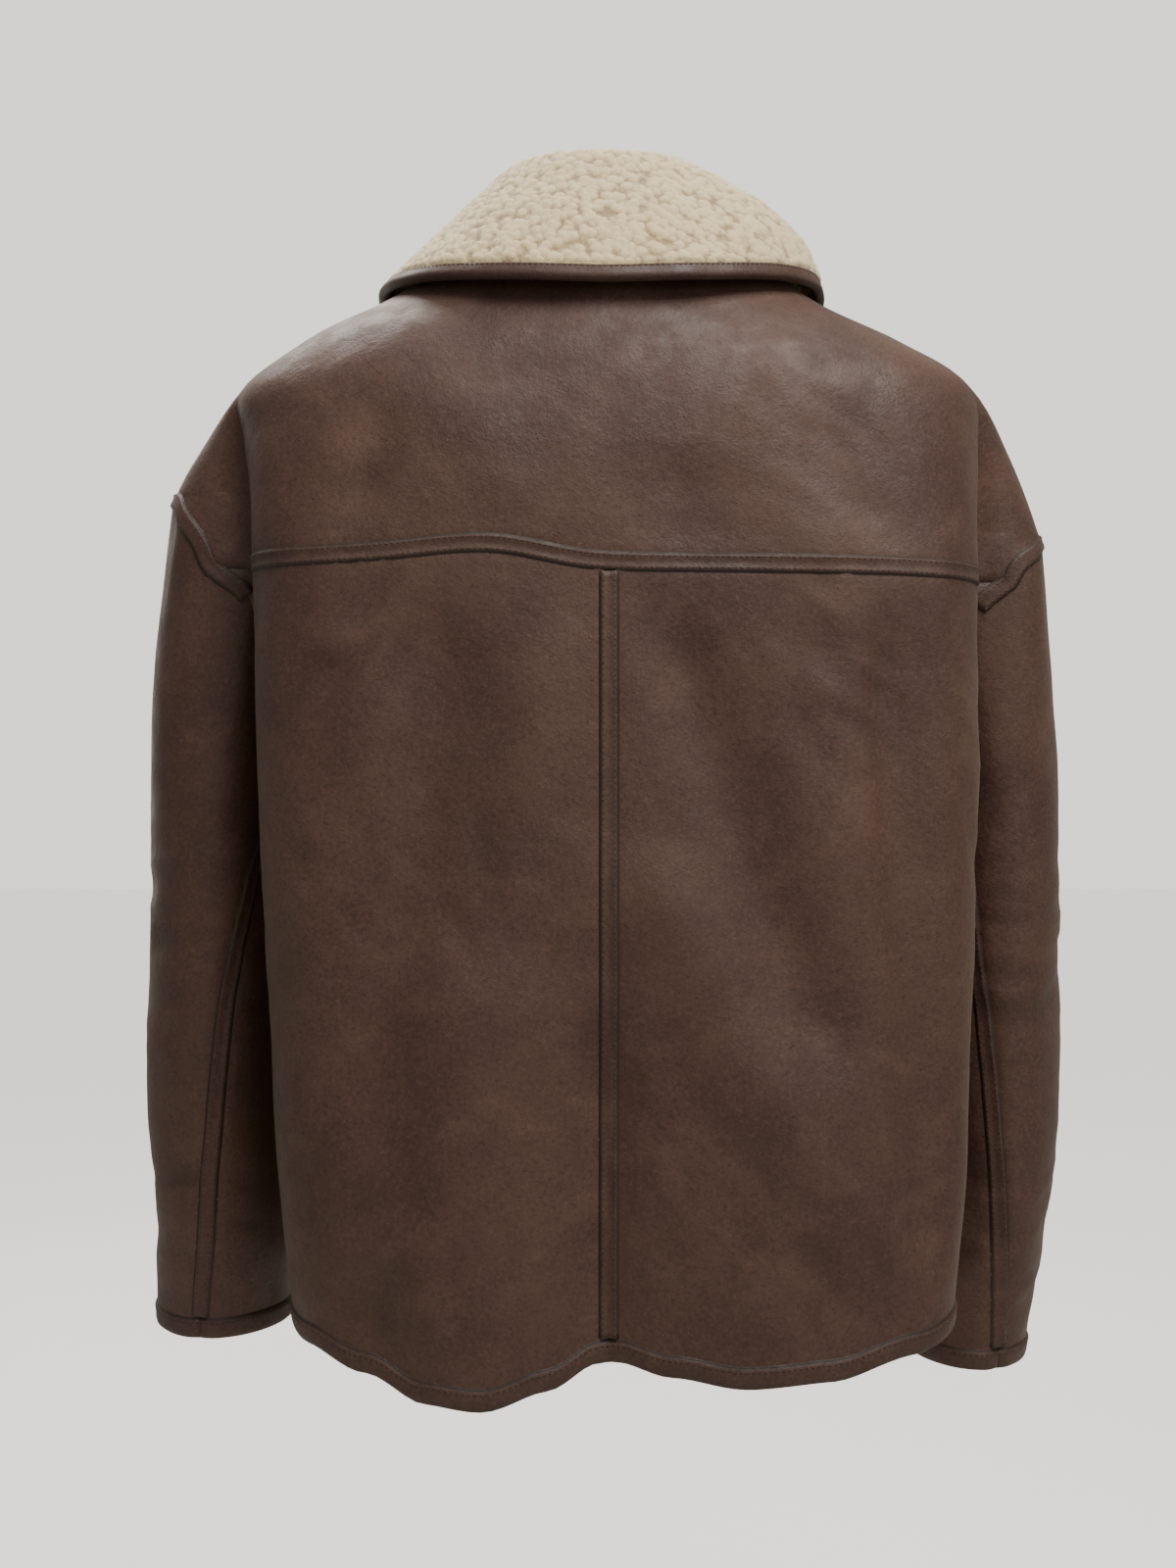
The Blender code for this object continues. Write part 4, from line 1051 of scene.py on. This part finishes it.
class Band:
    """Things sewn along a line on the cloth: strips over seams, and rows of stitches."""

    ACROSS = (-1.18, -1.02, -0.94, -0.80, -0.60, -0.32, 0.0, 0.32, 0.60, 0.80, 0.94, 1.02, 1.18)
    CROWN = (0.03, 0.06, 0.46, 0.84, 0.96, 0.90, 0.84, 0.90, 0.96, 0.84, 0.46, 0.06, 0.03)
    # Below 0.5 is darker: the dark lines at both edges are painted shade, and the paler crown is wear and painted
    # highlight.
    WEAR_AND_SHADE = (0.0, 0.0, 0.10, 0.46, 0.66, 0.58, 0.50, 0.58, 0.66, 0.46, 0.10, 0.0, 0.0)

    def __init__(self, path: Sequence[Spot], tree: BVHTree) -> None:
        """
        Args:
            path: The line, as points with directions out.
            tree: The facets of what it lies on.
        """
        self.path = evenly(path, BAND_STEP)
        self.tree = tree

    def height(self, spot: Vector, out: Vector) -> float:
        """How high the cloth stands over a spot."""
        found = self.tree.ray_cast(spot + out * 0.010, -out, 0.022)[0]
        return (found - spot).dot(out) if found else 0.0

    def sections(self, shares: Sequence[float], wide: float) -> list[list[Spot]]:
        """Points on the cloth across the line, at shares of half the width, smoothed along it."""
        frames, heights = [], []
        for place, (point, out) in enumerate(self.path):
            ahead = self.path[min(place + 1, len(self.path) - 1)][0] - self.path[max(place - 1, 0)][0]
            sideways = ahead.cross(out).normalized()
            frames.append((point, out, sideways))
            heights.append([self.height(point + sideways * share * wide / 2, out) for share in shares])
        for _ in range(2):
            last = len(heights) - 1
            heights = [
                [(heights[max(i - 1, 0)][k] + 2 * heights[i][k] + heights[min(i + 1, last)][k]) / 4
                 for k in range(len(shares))]
                for i in range(len(heights))
            ]
        made = []
        for (point, out, sideways), row in zip(frames, heights):
            flat = [max(row[k], (row[max(k - 1, 0)] + row[min(k + 1, len(row) - 1)]) / 2) for k in range(len(row))]
            made.append([(point + sideways * s * wide / 2 + out * high, out) for s, high in zip(shares, flat)])
        return made

    def strip(self, name: str, material: Material) -> Piece:
        """The leather strip, crowned, with its edges pressed down and painted dark there as shade."""
        over, under = [], []
        for section in self.sections(self.ACROSS, STRIP_WIDE):
            over.append([point + out * STRIP_HIGH * crown for (point, out), crown in zip(section, self.CROWN)])
            under.append([point - out * 0.0004 for point, out in section])
        return banded(name, over, under, self.WEAR_AND_SHADE, [material])

    def stitches(self, name: str, material: Material) -> Piece:
        """The two rows of stitches that hold the strip."""
        spots = []
        for share in (-BAND_STITCH_SHARE, BAND_STITCH_SHARE):
            line = [section[0] for section in self.sections((share,), STRIP_WIDE)]
            spots += stitched([(point + out * STRIP_HIGH * 0.86, out) for point, out in line])
        return sewn(name, spots, material)


def stitched(line: Sequence[Spot]) -> list[tuple[Vector, Vector, Vector]]:
    """(middle, direction along, direction out) of each stitch along a line."""
    fine = evenly(line, STITCH_STEP)
    return [((a + b) / 2, (b - a).normalized(), out) for (a, out), (b, _) in zip(fine, fine[1:])]


def sewn(name: str, spots: Sequence[tuple[Vector, Vector, Vector]], material: Material) -> Piece:
    """One piece of many short stitches.

    Args:
        name: The piece's name.
        spots: Each stitch's middle, direction along and direction out.
        material: The thread.

    Returns:
        The piece.
    """
    mesh = bmesh.new()
    for middle, along, out in spots:
        side = out.cross(along).normalized()
        turn = Matrix((along * STITCH_LONG / 2, side * STITCH_THICK, out * STITCH_THICK)).transposed().to_4x4()
        bmesh.ops.create_icosphere(mesh, subdivisions=1, radius=1.0, matrix=Matrix.Translation(middle) @ turn)
    bmesh.ops.recalc_face_normals(mesh, faces=mesh.faces[:])
    return finished(name, mesh, [material])


class Edge:
    """An edge of a panel, bound with a folded leather strip."""

    LEGS = (1.10, 1.01, 0.95, 0.84, 0.60, 0.35, 0.12)
    LIFTS = (0.05, 0.07, 0.52, 0.95, 1.05, 0.98, 1.0)
    # Darkest where the binding meets the cloth, which is painted shade. Paler round the turned edge, which is wear and
    # painted highlight.
    WEAR_AND_SHADE = (0.0, 0.0, 0.16, 0.60, 0.54, 0.50, 0.60)
    TURNS = (60, 30, 0, -30, -60)
    TURN_WEAR_AND_HIGHLIGHT = (0.62, 0.66, 0.68, 0.66, 0.62)
    BEYOND_FROM = 0.003      # how far in the cloth's direction is read, for which way the edge faces
    UNDER = 0.0009           # the binding's own thickness

    def __init__(self, runs: Sequence[list[Spot]], thick: float, leg: float = BINDING_LEG) -> None:
        """
        Args:
            runs: For each step along the edge, the face's spots from the edge inwards.
            thick: The cloth's thickness there.
            leg: How far the binding reaches in.
        """
        self.runs, self.thick, self.leg = runs, thick, leg

    @classmethod
    def of_columns(cls, columns: Sequence[list[Spot]]) -> "Edge":
        """The lower edge of a panel's columns."""
        return cls([column[: -EDGE_SPOTS - 1 : -1] for column in columns], CLOTH)

    @staticmethod
    def inward(run: list[Spot], distance: float) -> Spot:
        """The spot of a run at a distance from its edge."""
        gone = 0.0
        for (start, out), (end, next_out) in zip(run, run[1:]):
            long = (end - start).length
            if gone + long >= distance and long > 0:
                part = (distance - gone) / long
                return start.lerp(end, part), out.lerp(next_out, part).normalized()
            gone += long
        return run[-1]

    def section(self, run: list[Spot], extra: float) -> list[Vector]:
        """Points of the binding's outside round the edge, lowered by extra."""
        face, back, round_it = [], [], []
        for leg, lift in zip(self.LEGS, self.LIFTS):
            point, out = self.inward(run, leg * self.leg)
            high = max(BINDING_HIGH * lift - extra, -0.0002)
            face.append(point + out * high)
            back.append(point - out * (self.thick + high))
        edge, out = run[0]
        beyond = (edge - self.inward(run, self.BEYOND_FROM)[0]).normalized()
        middle = edge - out * self.thick / 2
        reach = self.thick / 2 + BINDING_HIGH - extra
        for turn in self.TURNS:
            angle = math.radians(turn)
            round_it.append(middle + out * math.sin(angle) * reach + beyond * math.cos(angle) * reach * 0.8)
        return face + round_it + back[::-1]

    def build(self, name: str, material: Material) -> Piece:
        """The binding."""
        over = [self.section(run, 0.0) for run in self.runs]
        under = [self.section(run, self.UNDER) for run in self.runs]
        return banded(name, over, under, self.WEAR_AND_SHADE + self.TURN_WEAR_AND_HIGHLIGHT + self.WEAR_AND_SHADE[::-1], [material])

    def stitches(self, name: str, material: Material, inset: float = 0.0022) -> Piece:
        """The row of stitches that holds the binding, on its face."""
        line = []
        for run in self.runs:
            point, out = self.inward(run, self.leg - inset)
            line.append((point + out * BINDING_HIGH * 1.03, out))
        return sewn(name, stitched(line), material)


# ---- The panels ----


@dataclass(frozen=True)
class Cut:
    """The rectangle that a sheet is cut from, and its own flat area."""

    width: float
    length: float
    area: float

    def declare(self, piece: Piece, held: str, extras: Sequence[Piece]) -> None:
        """Makes a list of what is sewn on a piece, and does nothing more with it."""
        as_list(extras)


@dataclass(frozen=True)
class Panel:
    """One cut panel of the trunk."""

    name: str
    node: str
    side: Side
    back: bool
    first: int
    last: int
    tucked: str
    cut: Cut

    def columns(self) -> list[list[Vector]]:
        """The face's points."""
        places = Trunk.places(self.first, self.last)
        pick = Trunk.back_columns if self.back else Trunk.front_columns
        by_row = [pick(place) for place in places]
        lapped = not self.back and self.side is Side.RIGHT
        grid = []
        for column in range(len(by_row[0])):
            degrees = [Trunk.mirrored(row[column], self.side) for row in by_row]
            grid.append([self.at(angle, place, lapped) for angle, place in zip(degrees, places)])
        if self.first == NECK and self.back:
            other = [
                [Trunk.point(Trunk.mirrored(row[column], Side.RIGHT), place) for row, place in zip(by_row, places)]
                for column in range(1, len(by_row[0]))
            ]
            grid = list(reversed(grid)) + other
        return grid

    @staticmethod
    def at(degrees: float, place: float, lapped: bool) -> Vector:
        """A point of the face, with its rise where it laps."""
        return Trunk.spot(degrees, place, True)[0] if lapped else Trunk.point(degrees, place)

    def build(self, finishes: Finishes) -> tuple[Piece, list[list[Spot]]]:
        """The panel and its face's spots by column."""
        skin = Skin(self.columns(), lambda point: Vector((point.x, point.y, 0)))
        skin.push(relief, RELIEF_WEAR_AND_SHADE)
        skin.tuck(self.tucked)
        spots = skin.spots()
        skin.thicken(CLOTH)
        piece = finished(self.name, skin.mesh, [finishes.face, finishes.lining])
        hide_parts(self.node)
        return piece, spots


BACK_CUT, FRONT_CUT = Cut(0.36, 0.48, 0.150), Cut(0.36, 0.68, 0.190)
SLEEVE_CUT, COLLAR_CUT = Cut(0.44, 0.56, 0.190), Cut(0.72, 0.18, 0.098)

PANELS = (
    Panel("yoke_cloth", "back_yoke", Side.LEFT, True, NECK, YOKE_SEAM, "first last low", Cut(0.62, 0.27, 0.130)),
    Panel("back_left_cloth", "back_left", Side.LEFT, True, YOKE_SEAM, HEM, "first last top", BACK_CUT),
    Panel("back_right_cloth", "back_right", Side.RIGHT, True, YOKE_SEAM, HEM, "first last top", BACK_CUT),
    Panel("front_left_cloth", "front_left", Side.LEFT, False, NECK, HEM, "first", FRONT_CUT),
    Panel("front_right_cloth", "front_right", Side.RIGHT, False, NECK, HEM, "first", FRONT_CUT),
)


class Shell:
    """The trunk's panels, with what is sewn on them."""

    def __init__(self, finishes: Finishes) -> None:
        self.finishes = finishes
        self.pieces: dict[str, Piece] = {}
        self.spots: dict[str, list[list[Spot]]] = {}
        self.extras: dict[str, list[Piece]] = {panel.node: [] for panel in PANELS}

    def build(self) -> None:
        """Every panel, strip and binding of the trunk."""
        for panel in PANELS:
            self.pieces[panel.node], self.spots[panel.node] = panel.build(self.finishes)
        self.strips()
        self.bindings()

    def add(self, owner: str, piece: Piece, node: str | None = None) -> None:
        """Notes a piece sewn on a panel, and hides the node it stands for."""
        self.extras[owner].append(trimmed(piece, node))

    def strips(self) -> None:
        """The strips over the yoke seam and the centre back seam."""
        tree = tree_of([self.pieces[name] for name in ("back_yoke", "back_left", "back_right")])
        middle = [Trunk.spot(25.0 + step, YOKE_SEAM) for step in range(131)]
        left, right = (self.into_fold(Trunk.mirrored(23.0, side), Trunk.mirrored(16.0, side)) for side in Side)
        yoke = Band(left[::-1] + middle + right, tree)
        self.add("back_yoke", yoke.strip("yoke_seam_strip", self.finishes.trim), "yoke_strip")
        self.add("back_yoke", yoke.stitches("yoke_strip_stitches", self.finishes.thread))
        places = [YOKE_SEAM + (HEM - YOKE_SEAM) * step / 90 for step in range(91)]
        path = evenly([Trunk.spot(90, place) for place in places], SEAM_SAMPLE)[3:-6]
        centre = Band(path, tree)
        self.add("back_left", centre.strip("centre_back_seam_strip", self.finishes.trim), "centre_back_strip")
        self.add("back_left", centre.stitches("centre_back_stitches", self.finishes.thread))

    @staticmethod
    def into_fold(near_deg: float, fold_deg: float) -> list[Spot]:
        """The last two spots of the yoke's seam, the second close to the fold behind the arm."""
        point, out = Trunk.spot(near_deg, YOKE_SEAM)
        return [(point, out), (point.lerp(Trunk.point(fold_deg, YOKE_SEAM), 0.9), out)]

    def bindings(self) -> None:
        """The binding of the lower edge and of the right front's edge."""
        chain = self.spots["front_left"][-10::-1] + self.spots["back_left"][::-1]
        chain = self.spread(chain + self.spots["back_right"] + self.spots["front_right"][:-1])
        hem = Edge.of_columns(chain)
        self.add("back_right", hem.build("hem_edge_binding", self.finishes.trim), "hem_binding")
        self.add("back_right", hem.stitches("hem_stitches", self.finishes.thread))
        rows = range(len(self.spots["front_right"][0]))
        inwards = self.spots["front_right"][: -EDGE_SPOTS - 1 : -1]
        front = Edge([[column[row] for column in inwards] for row in rows], CLOTH)
        self.add("front_right", front.build("front_edge_bound", self.finishes.trim), "front_edge_binding")
        self.add("front_right", front.stitches("front_edge_stitches", self.finishes.thread))

    @staticmethod
    def spread(chain: list[list[Spot]]) -> list[list[Spot]]:
        """The columns that stand clear of the one before along the edge."""
        kept = [chain[0]]
        for column in chain[1:]:
            if (column[-1][0] - kept[-1][-1][0]).length > 0.003:
                kept.append(column)
        return kept

    def declare(self) -> None:
        """Hands each panel's piece, with what is sewn on it, to its cut's declare."""
        for panel in PANELS:
            panel.cut.declare(self.pieces[panel.node], "hung", self.extras[panel.node])


# ---- The sleeves' pieces ----


@dataclass
class SleeveSet:
    """One sleeve with its strips, binding and stitches."""

    side: Side
    cut: Cut

    def build(self, finishes: Finishes, shell: Shell) -> None:
        """
        Args:
            finishes: The materials.
            shell: The trunk, which its armhole strip lies on as well.
        """
        name = self.side.name.lower()
        form = Sleeve(self.side)
        middle_x, middle_y = self.side.value * 0.253, -0.02
        skin = Skin(form.grid(), lambda point: Vector((point.x - middle_x, point.y - middle_y, 0)))
        skin.push(relief, RELIEF_WEAR_AND_SHADE)
        skin.tuck("first last")
        spots = skin.spots()
        skin.thicken(CLOTH)
        piece = finished("sleeve_%s_cloth" % name, skin.mesh, [finishes.face, finishes.lining])
        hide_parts("sleeve_" + name)
        seam = Band(evenly(spots[0], SEAM_SAMPLE)[8:-6], tree_of([piece]))
        near = ("back_yoke", "back_" + name, "front_" + name)
        ground = tree_of([piece] + [shell.pieces[one] for one in near])
        hole = Band(form.loop[ARMHOLE_STRIP_SKIP:-ARMHOLE_STRIP_SKIP], ground)
        cuff = Edge.of_columns(spots)
        extras = [
            (seam.strip("sleeve_%s_seam_strip" % name, finishes.trim), "sleeve_strip_" + name),
            (seam.stitches("sleeve_%s_seam_stitches" % name, finishes.thread), None),
            (hole.strip("armhole_%s_seam_strip" % name, finishes.trim), "armhole_strip_" + name),
            (hole.stitches("armhole_%s_stitches" % name, finishes.thread), None),
            (cuff.build("cuff_%s_bound" % name, finishes.trim), "cuff_binding_" + name),
            (cuff.stitches("cuff_%s_stitches" % name, finishes.thread), None),
        ]
        self.cut.declare(piece, "hung", [trimmed(extra, node) for extra, node in extras])


# ---- The collar ----


@dataclass
class CollarSet:
    """The turned-down pile collar and its bound edge."""

    cut: Cut
    nub: float = 0.0058
    nub_high: float = 0.0021
    bald: float = 0.0045         # no nubs this close to the edge, under the binding
    bald_fade: float = 0.0050
    core_share: float = 0.45     # of half the cloth, how much lies under the pile
    bound_share: float = 0.62    # of the cloth, how thick its pressed edge is
    bound_leg: float = 0.0072

    def section(self, row: Roll, right: bool) -> list[Vector]:
        """The collar's middle line at one station, from the neck seam over the roll to the edge."""
        side = Side.RIGHT if right else Side.LEFT

        def spot(degrees: float, radius: float, height: float) -> Vector:
            angle = math.radians(Trunk.mirrored(degrees, side))
            return Vector((radius * math.cos(angle), radius * math.sin(angle), height))

        degrees = Trunk.mirrored(row.base_deg, side)
        base, out = Trunk.spot(degrees, NECK, right and degrees > 180)
        up = (Trunk.point(degrees, NECK) - Trunk.point(degrees, NECK + 0.05)).normalized()
        foot = base + up * COLLAR_FOOT - out * CLOTH / 2
        roll = spot(row.roll_deg, row.roll_r, row.roll_z)
        edge = spot(row.edge_deg, row.edge_r, row.edge_z)
        level = Vector((edge.x - roll.x, edge.y - roll.y, 0)).normalized()
        high = Vector((0, 0, 1))
        inner = roll + level * COLLAR_ROLL_IN[0] + high * COLLAR_ROLL_IN[1]
        outer = roll + level * COLLAR_ROLL_OUT[0] + high * COLLAR_ROLL_OUT[1]
        fall = edge - outer
        swell = Vector((level.x * -fall.z, level.y * -fall.z, level.dot(fall))).normalized() * row.puff
        return [
            foot, foot + (inner - foot) * 0.5, inner, roll, outer,
            outer + fall * 0.33 + swell * 0.9, outer + fall * 0.68 + swell, edge,
        ]

    @staticmethod
    def across(row: Roll) -> Roll:
        """A station as it is on the other side of the centre back, so that the collar runs smoothly through it."""
        return row._replace(base_deg=180 - row.base_deg, roll_deg=180 - row.roll_deg, edge_deg=180 - row.edge_deg)

    def points(self, sections: int, rows: int) -> list[list[Vector]]:
        """The collar's middle surface, a column for each station from the left front to the right.

        Args:
            sections: Stations on each side of the centre back.
            rows: Points down each.

        Returns:
            Columns of points.
        """
        grid = []
        for step in range(-sections, sections + 1):
            table = COLLAR_LEFT if step < 0 else COLLAR_RIGHT
            place = 1 + abs(step) / sections * (len(table) - 1)
            line = self.section(through((self.across(table[1]), *table), place), step > 0)
            curve = []
            for row in range(rows * 2):
                at = row / (rows * 2 - 1) * (len(line) - 1)
                low = min(int(at), len(line) - 2)
                near = [line[min(max(low + step, 0), len(line) - 1)] for step in NEAR_STEPS]
                curve.append((curved(*near, at - low), Vector((0, 0, 1))))
            long = sum((end - start).length for (start, _), (end, _) in zip(curve, curve[1:]))
            grid.append([point for point, _ in evenly(curve, long / (rows - 1))])
        return grid

    @staticmethod
    def outward(point: Vector) -> Vector:
        """Roughly out of the collar's pile side: up, and away from the neck."""
        return Vector((point.x * 0.2, point.y * 0.2, 1))

    def curl(self, point: Vector) -> float:
        """How high the pile's nubs stand at a point, from 0 between them to 1 on their tops."""
        warp = noise.noise_vector(point * 150) * 0.0014
        away = noise.voronoi((point + warp) / self.nub)[0]
        dome = 1 - min(1.0, away[0] * 1.16) ** 2
        split = min(1.0, (away[1] - away[0]) * 3.2)
        return 0.72 * dome + 0.28 * split + noise.noise(point * 620) * 0.15

    def build(self, finishes: Finishes) -> None:
        """
        Args:
            finishes: The materials.
        """
        coarser = 1
        fine = Skin(self.points(COLLAR_SECTIONS // coarser, COLLAR_ROWS // coarser), self.outward)
        smooth = fine.spots()
        half = COLLAR_CLOTH / 2
        for vert in fine.mesh.verts:
            column, row = divmod(vert[fine.number], fine.rows)
            point, out = smooth[column][row]
            from_edge = (smooth[column][-1][0] - point).length
            free = ease((from_edge - self.bald) / self.bald_fade)
            nub = self.curl(point)
            broad = noise.noise(point * 42) * 0.0014
            core = half * (self.core_share + (1 - self.core_share) * free)
            vert.co = point + out * (core + (nub * self.nub_high + broad) * free)
            # The nub's height, which the pile's material paints dark between the nubs as shade.
            vert[fine.painted_shading] = min(max(nub, 0.0), 1.0)
        pile = finished("collar_pile", fine.mesh, [finishes.pile])
        under = Skin(self.points(90, 30), self.outward)
        under.push(lambda _: half * self.core_share)
        under.thicken(half * 1.1)
        core = finished("collar_under", under.mesh, [finishes.lining, finishes.lining])
        thin = COLLAR_CLOTH * self.bound_share
        runs = [[(point + out * thin / 2, out) for point, out in reversed(column[-26:])] for column in smooth[::2]]
        edge = Edge(runs, thin, self.bound_leg)
        bound = edge.build("collar_edge_bound", finishes.trim)
        rows = edge.stitches("collar_stitches", finishes.thread)
        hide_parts("collar_left", "collar_right")
        self.cut.declare(core, "folded", [pile, trimmed(bound, "collar_binding"), trimmed(rows)])


# ---- The buttons ----


@dataclass
class Button:
    """A four-hole horn button, sewn on through its holes, with the end of its buttonhole beside it."""

    number: int
    radius: float = BUTTON_RADIUS
    rows: tuple[tuple[float, float], ...] = (
        (0.0, 0.0022), (0.42, 0.0021), (0.60, 0.0021), (0.70, 0.0029), (0.80, 0.0034), (0.90, 0.0033),
        (0.97, 0.0027), (1.0, 0.0019), (0.97, 0.0010), (0.85, 0.0003), (0.0, 0.0),
    )

    def build(self, finishes: Finishes, tree: BVHTree) -> list[Piece]:
        """
        Args:
            finishes: The materials.
            tree: The right front's facets.

        Returns:
            The button, its thread and its buttonhole.
        """
        height = BUTTON_TOP_Z - BUTTON_STEP * (self.number - 1)
        seat, out, _, _ = tree.ray_cast(Vector((BUTTON_X, -1, height)), Vector((0, 1, 0)))
        out = -out if out.y > 0 else out
        turn = Vector((0, 0, 1)).rotation_difference(out).to_matrix().to_4x4()
        place = Matrix.Translation(seat + out * 0.0010) @ turn
        mesh = bmesh.new()
        profile = [mesh.verts.new((self.radius * r, 0, z)) for r, z in self.rows]
        for first, second in zip(profile, profile[1:]):
            mesh.edges.new((first, second))
        bmesh.ops.spin(
            mesh, geom=mesh.verts[:] + mesh.edges[:], cent=(0, 0, 0), axis=(0, 0, 1), angle=math.tau,
            steps=40, use_merge=True,
        )
        bmesh.ops.remove_doubles(mesh, verts=mesh.verts[:], dist=1e-5)
        bmesh.ops.recalc_face_normals(mesh, faces=mesh.faces[:])
        bmesh.ops.transform(mesh, matrix=place, verts=mesh.verts[:])
        disc = finished("horn_button_%d" % self.number, mesh, [finishes.horn])
        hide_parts("button_%d" % self.number)
        spots = []
        across = turn.to_3x3() @ Vector((1, 0, 0))
        along = turn.to_3x3() @ Vector((0, 1, 0))
        for side in (-1, 1):
            for lift in (-0.3, 0.3):
                middle = seat + out * 0.0036 + across * side * 0.0019 + across * lift * 0.0010
                spots += [(middle + along * step * 0.0011, along, out) for step in (-1, 0, 1)]
        thread = sewn("button_thread_%d" % self.number, spots, finishes.thread)
        slit = []
        for side in (-1, 1):
            for step in range(12):
                middle = seat + out * 0.0004 + across * (0.0065 + step * 0.0009) + along * side * 0.0013
                slit.append((middle, along, out))
        hole = sewn("buttonhole_%d" % self.number, slit, finishes.thread)
        return [disc, thread, hole]


# ---- The studio ----


WARM = (1.0, 0.965, 0.91)


@dataclass(frozen=True)
class Lamp:
    """One soft area light."""

    name: str
    place: tuple[float, float, float]
    aim: tuple[float, float, float]
    size: float
    power: float

    def build(self) -> None:
        """Places the light."""
        data = bpy.data.lights.new(self.name, "AREA")
        data.shape, data.size, data.energy, data.color = "SQUARE", self.size, self.power, WARM
        made = bpy.data.objects.new(self.name, data)
        made.location = self.place
        made.rotation_euler = (Vector(self.aim) - Vector(self.place)).to_track_quat("-Z", "Y").to_euler()
        bpy.context.scene.collection.objects.link(made)


LAMPS = (
    Lamp("key_over_back", (-0.55, 1.00, 1.50), (0.0, 0.05, -0.18), 1.1, 52.0),
    Lamp("fill_back", (-1.3, 2.2, 0.2), (0.0, 0.0, -0.40), 1.6, 9.0),
    Lamp("key_over_front", (0.55, -1.00, 1.50), (0.0, -0.05, -0.18), 1.1, 48.0),
    Lamp("fill_front", (1.3, -2.2, 0.2), (0.0, 0.0, -0.40), 1.6, 11.0),
)


class Studio:
    """The floor, the soft light and the camera."""

    CAMERA = (0.012, 1.113, -0.33)
    LENS = 39.375
    FLOOR_Z = -1.25
    PALE = (1.46, 1.43, 1.34, 1.0)
    AMBIENT = 0.24
    GLOW = 0.78

    def build(self) -> None:
        """Sets the stage."""
        world = bpy.data.worlds.new("pale_room")
        world.use_nodes = True
        nodes, links = world.node_tree.nodes, world.node_tree.links
        nodes["Background"].inputs["Color"].default_value = self.PALE
        seen = nodes.new("ShaderNodeLightPath").outputs["Is Camera Ray"]
        level = nodes.new("ShaderNodeMapRange")
        level.inputs["To Min"].default_value = self.AMBIENT
        links.new(seen, level.inputs["Value"])
        links.new(level.outputs["Result"], nodes["Background"].inputs["Strength"])
        bpy.context.scene.world = world
        self.floor()
        for lamp in LAMPS:
            lamp.build()
        data = bpy.data.cameras.new("camera")
        data.lens, data.sensor_width = self.LENS, 36.0
        data.clip_start, data.clip_end = 0.01, 100.0
        camera = bpy.data.objects.new("camera", data)
        camera.location = self.CAMERA
        camera.rotation_euler = (math.pi / 2, 0.0, math.pi)
        bpy.context.scene.collection.objects.link(camera)
        bpy.context.scene.camera = camera

    def floor(self) -> None:
        """The floor, which glows for the camera only so that it meets the room behind without a line."""
        mesh = bmesh.new()
        bmesh.ops.create_grid(mesh, x_segments=8, y_segments=8, size=14.0)
        bmesh.ops.translate(mesh, verts=mesh.verts[:], vec=(0, 0, self.FLOOR_Z))
        data = bpy.data.meshes.new("floor")
        mesh.to_mesh(data)
        mesh.free()
        graph = Graph("floor_pale")
        shade = graph.mix(graph.noise(3.0), (0.50, 0.49, 0.465, 1.0), (0.52, 0.51, 0.485, 1.0))
        seen = graph.node("ShaderNodeLightPath").outputs["Is Camera Ray"]
        glow = graph.node("ShaderNodeMath", {0: seen, 1: self.GLOW}, operation="MULTIPLY").outputs[0]
        data.materials.append(
            graph.finish(
                Base_Color=shade, Roughness=0.9, Specular_IOR_Level=0.1, Emission_Color=self.PALE,
                Emission_Strength=glow,
            )
        )
        floor = bpy.data.objects.new("floor", data)
        bpy.context.scene.collection.objects.link(floor)


def main() -> None:
    """Dresses the frame and lights it."""
    logging.basicConfig(level=logging.INFO, format="%(message)s")
    noise.seed_set(NOISE_SEED)
    Studio().build()
    finishes = Finishes()
    shell = Shell(finishes)
    shell.build()
    for side in (Side.LEFT, Side.RIGHT):
        SleeveSet(side, SLEEVE_CUT).build(finishes, shell)
    CollarSet(COLLAR_CUT).build(finishes)
    tree = tree_of([shell.pieces["front_right"]])
    for number in range(1, BUTTON_COUNT + 1):
        shell.extras["front_right"] += Button(number).build(finishes, tree)
    shell.declare()


if __name__ == "__main__":
    main()
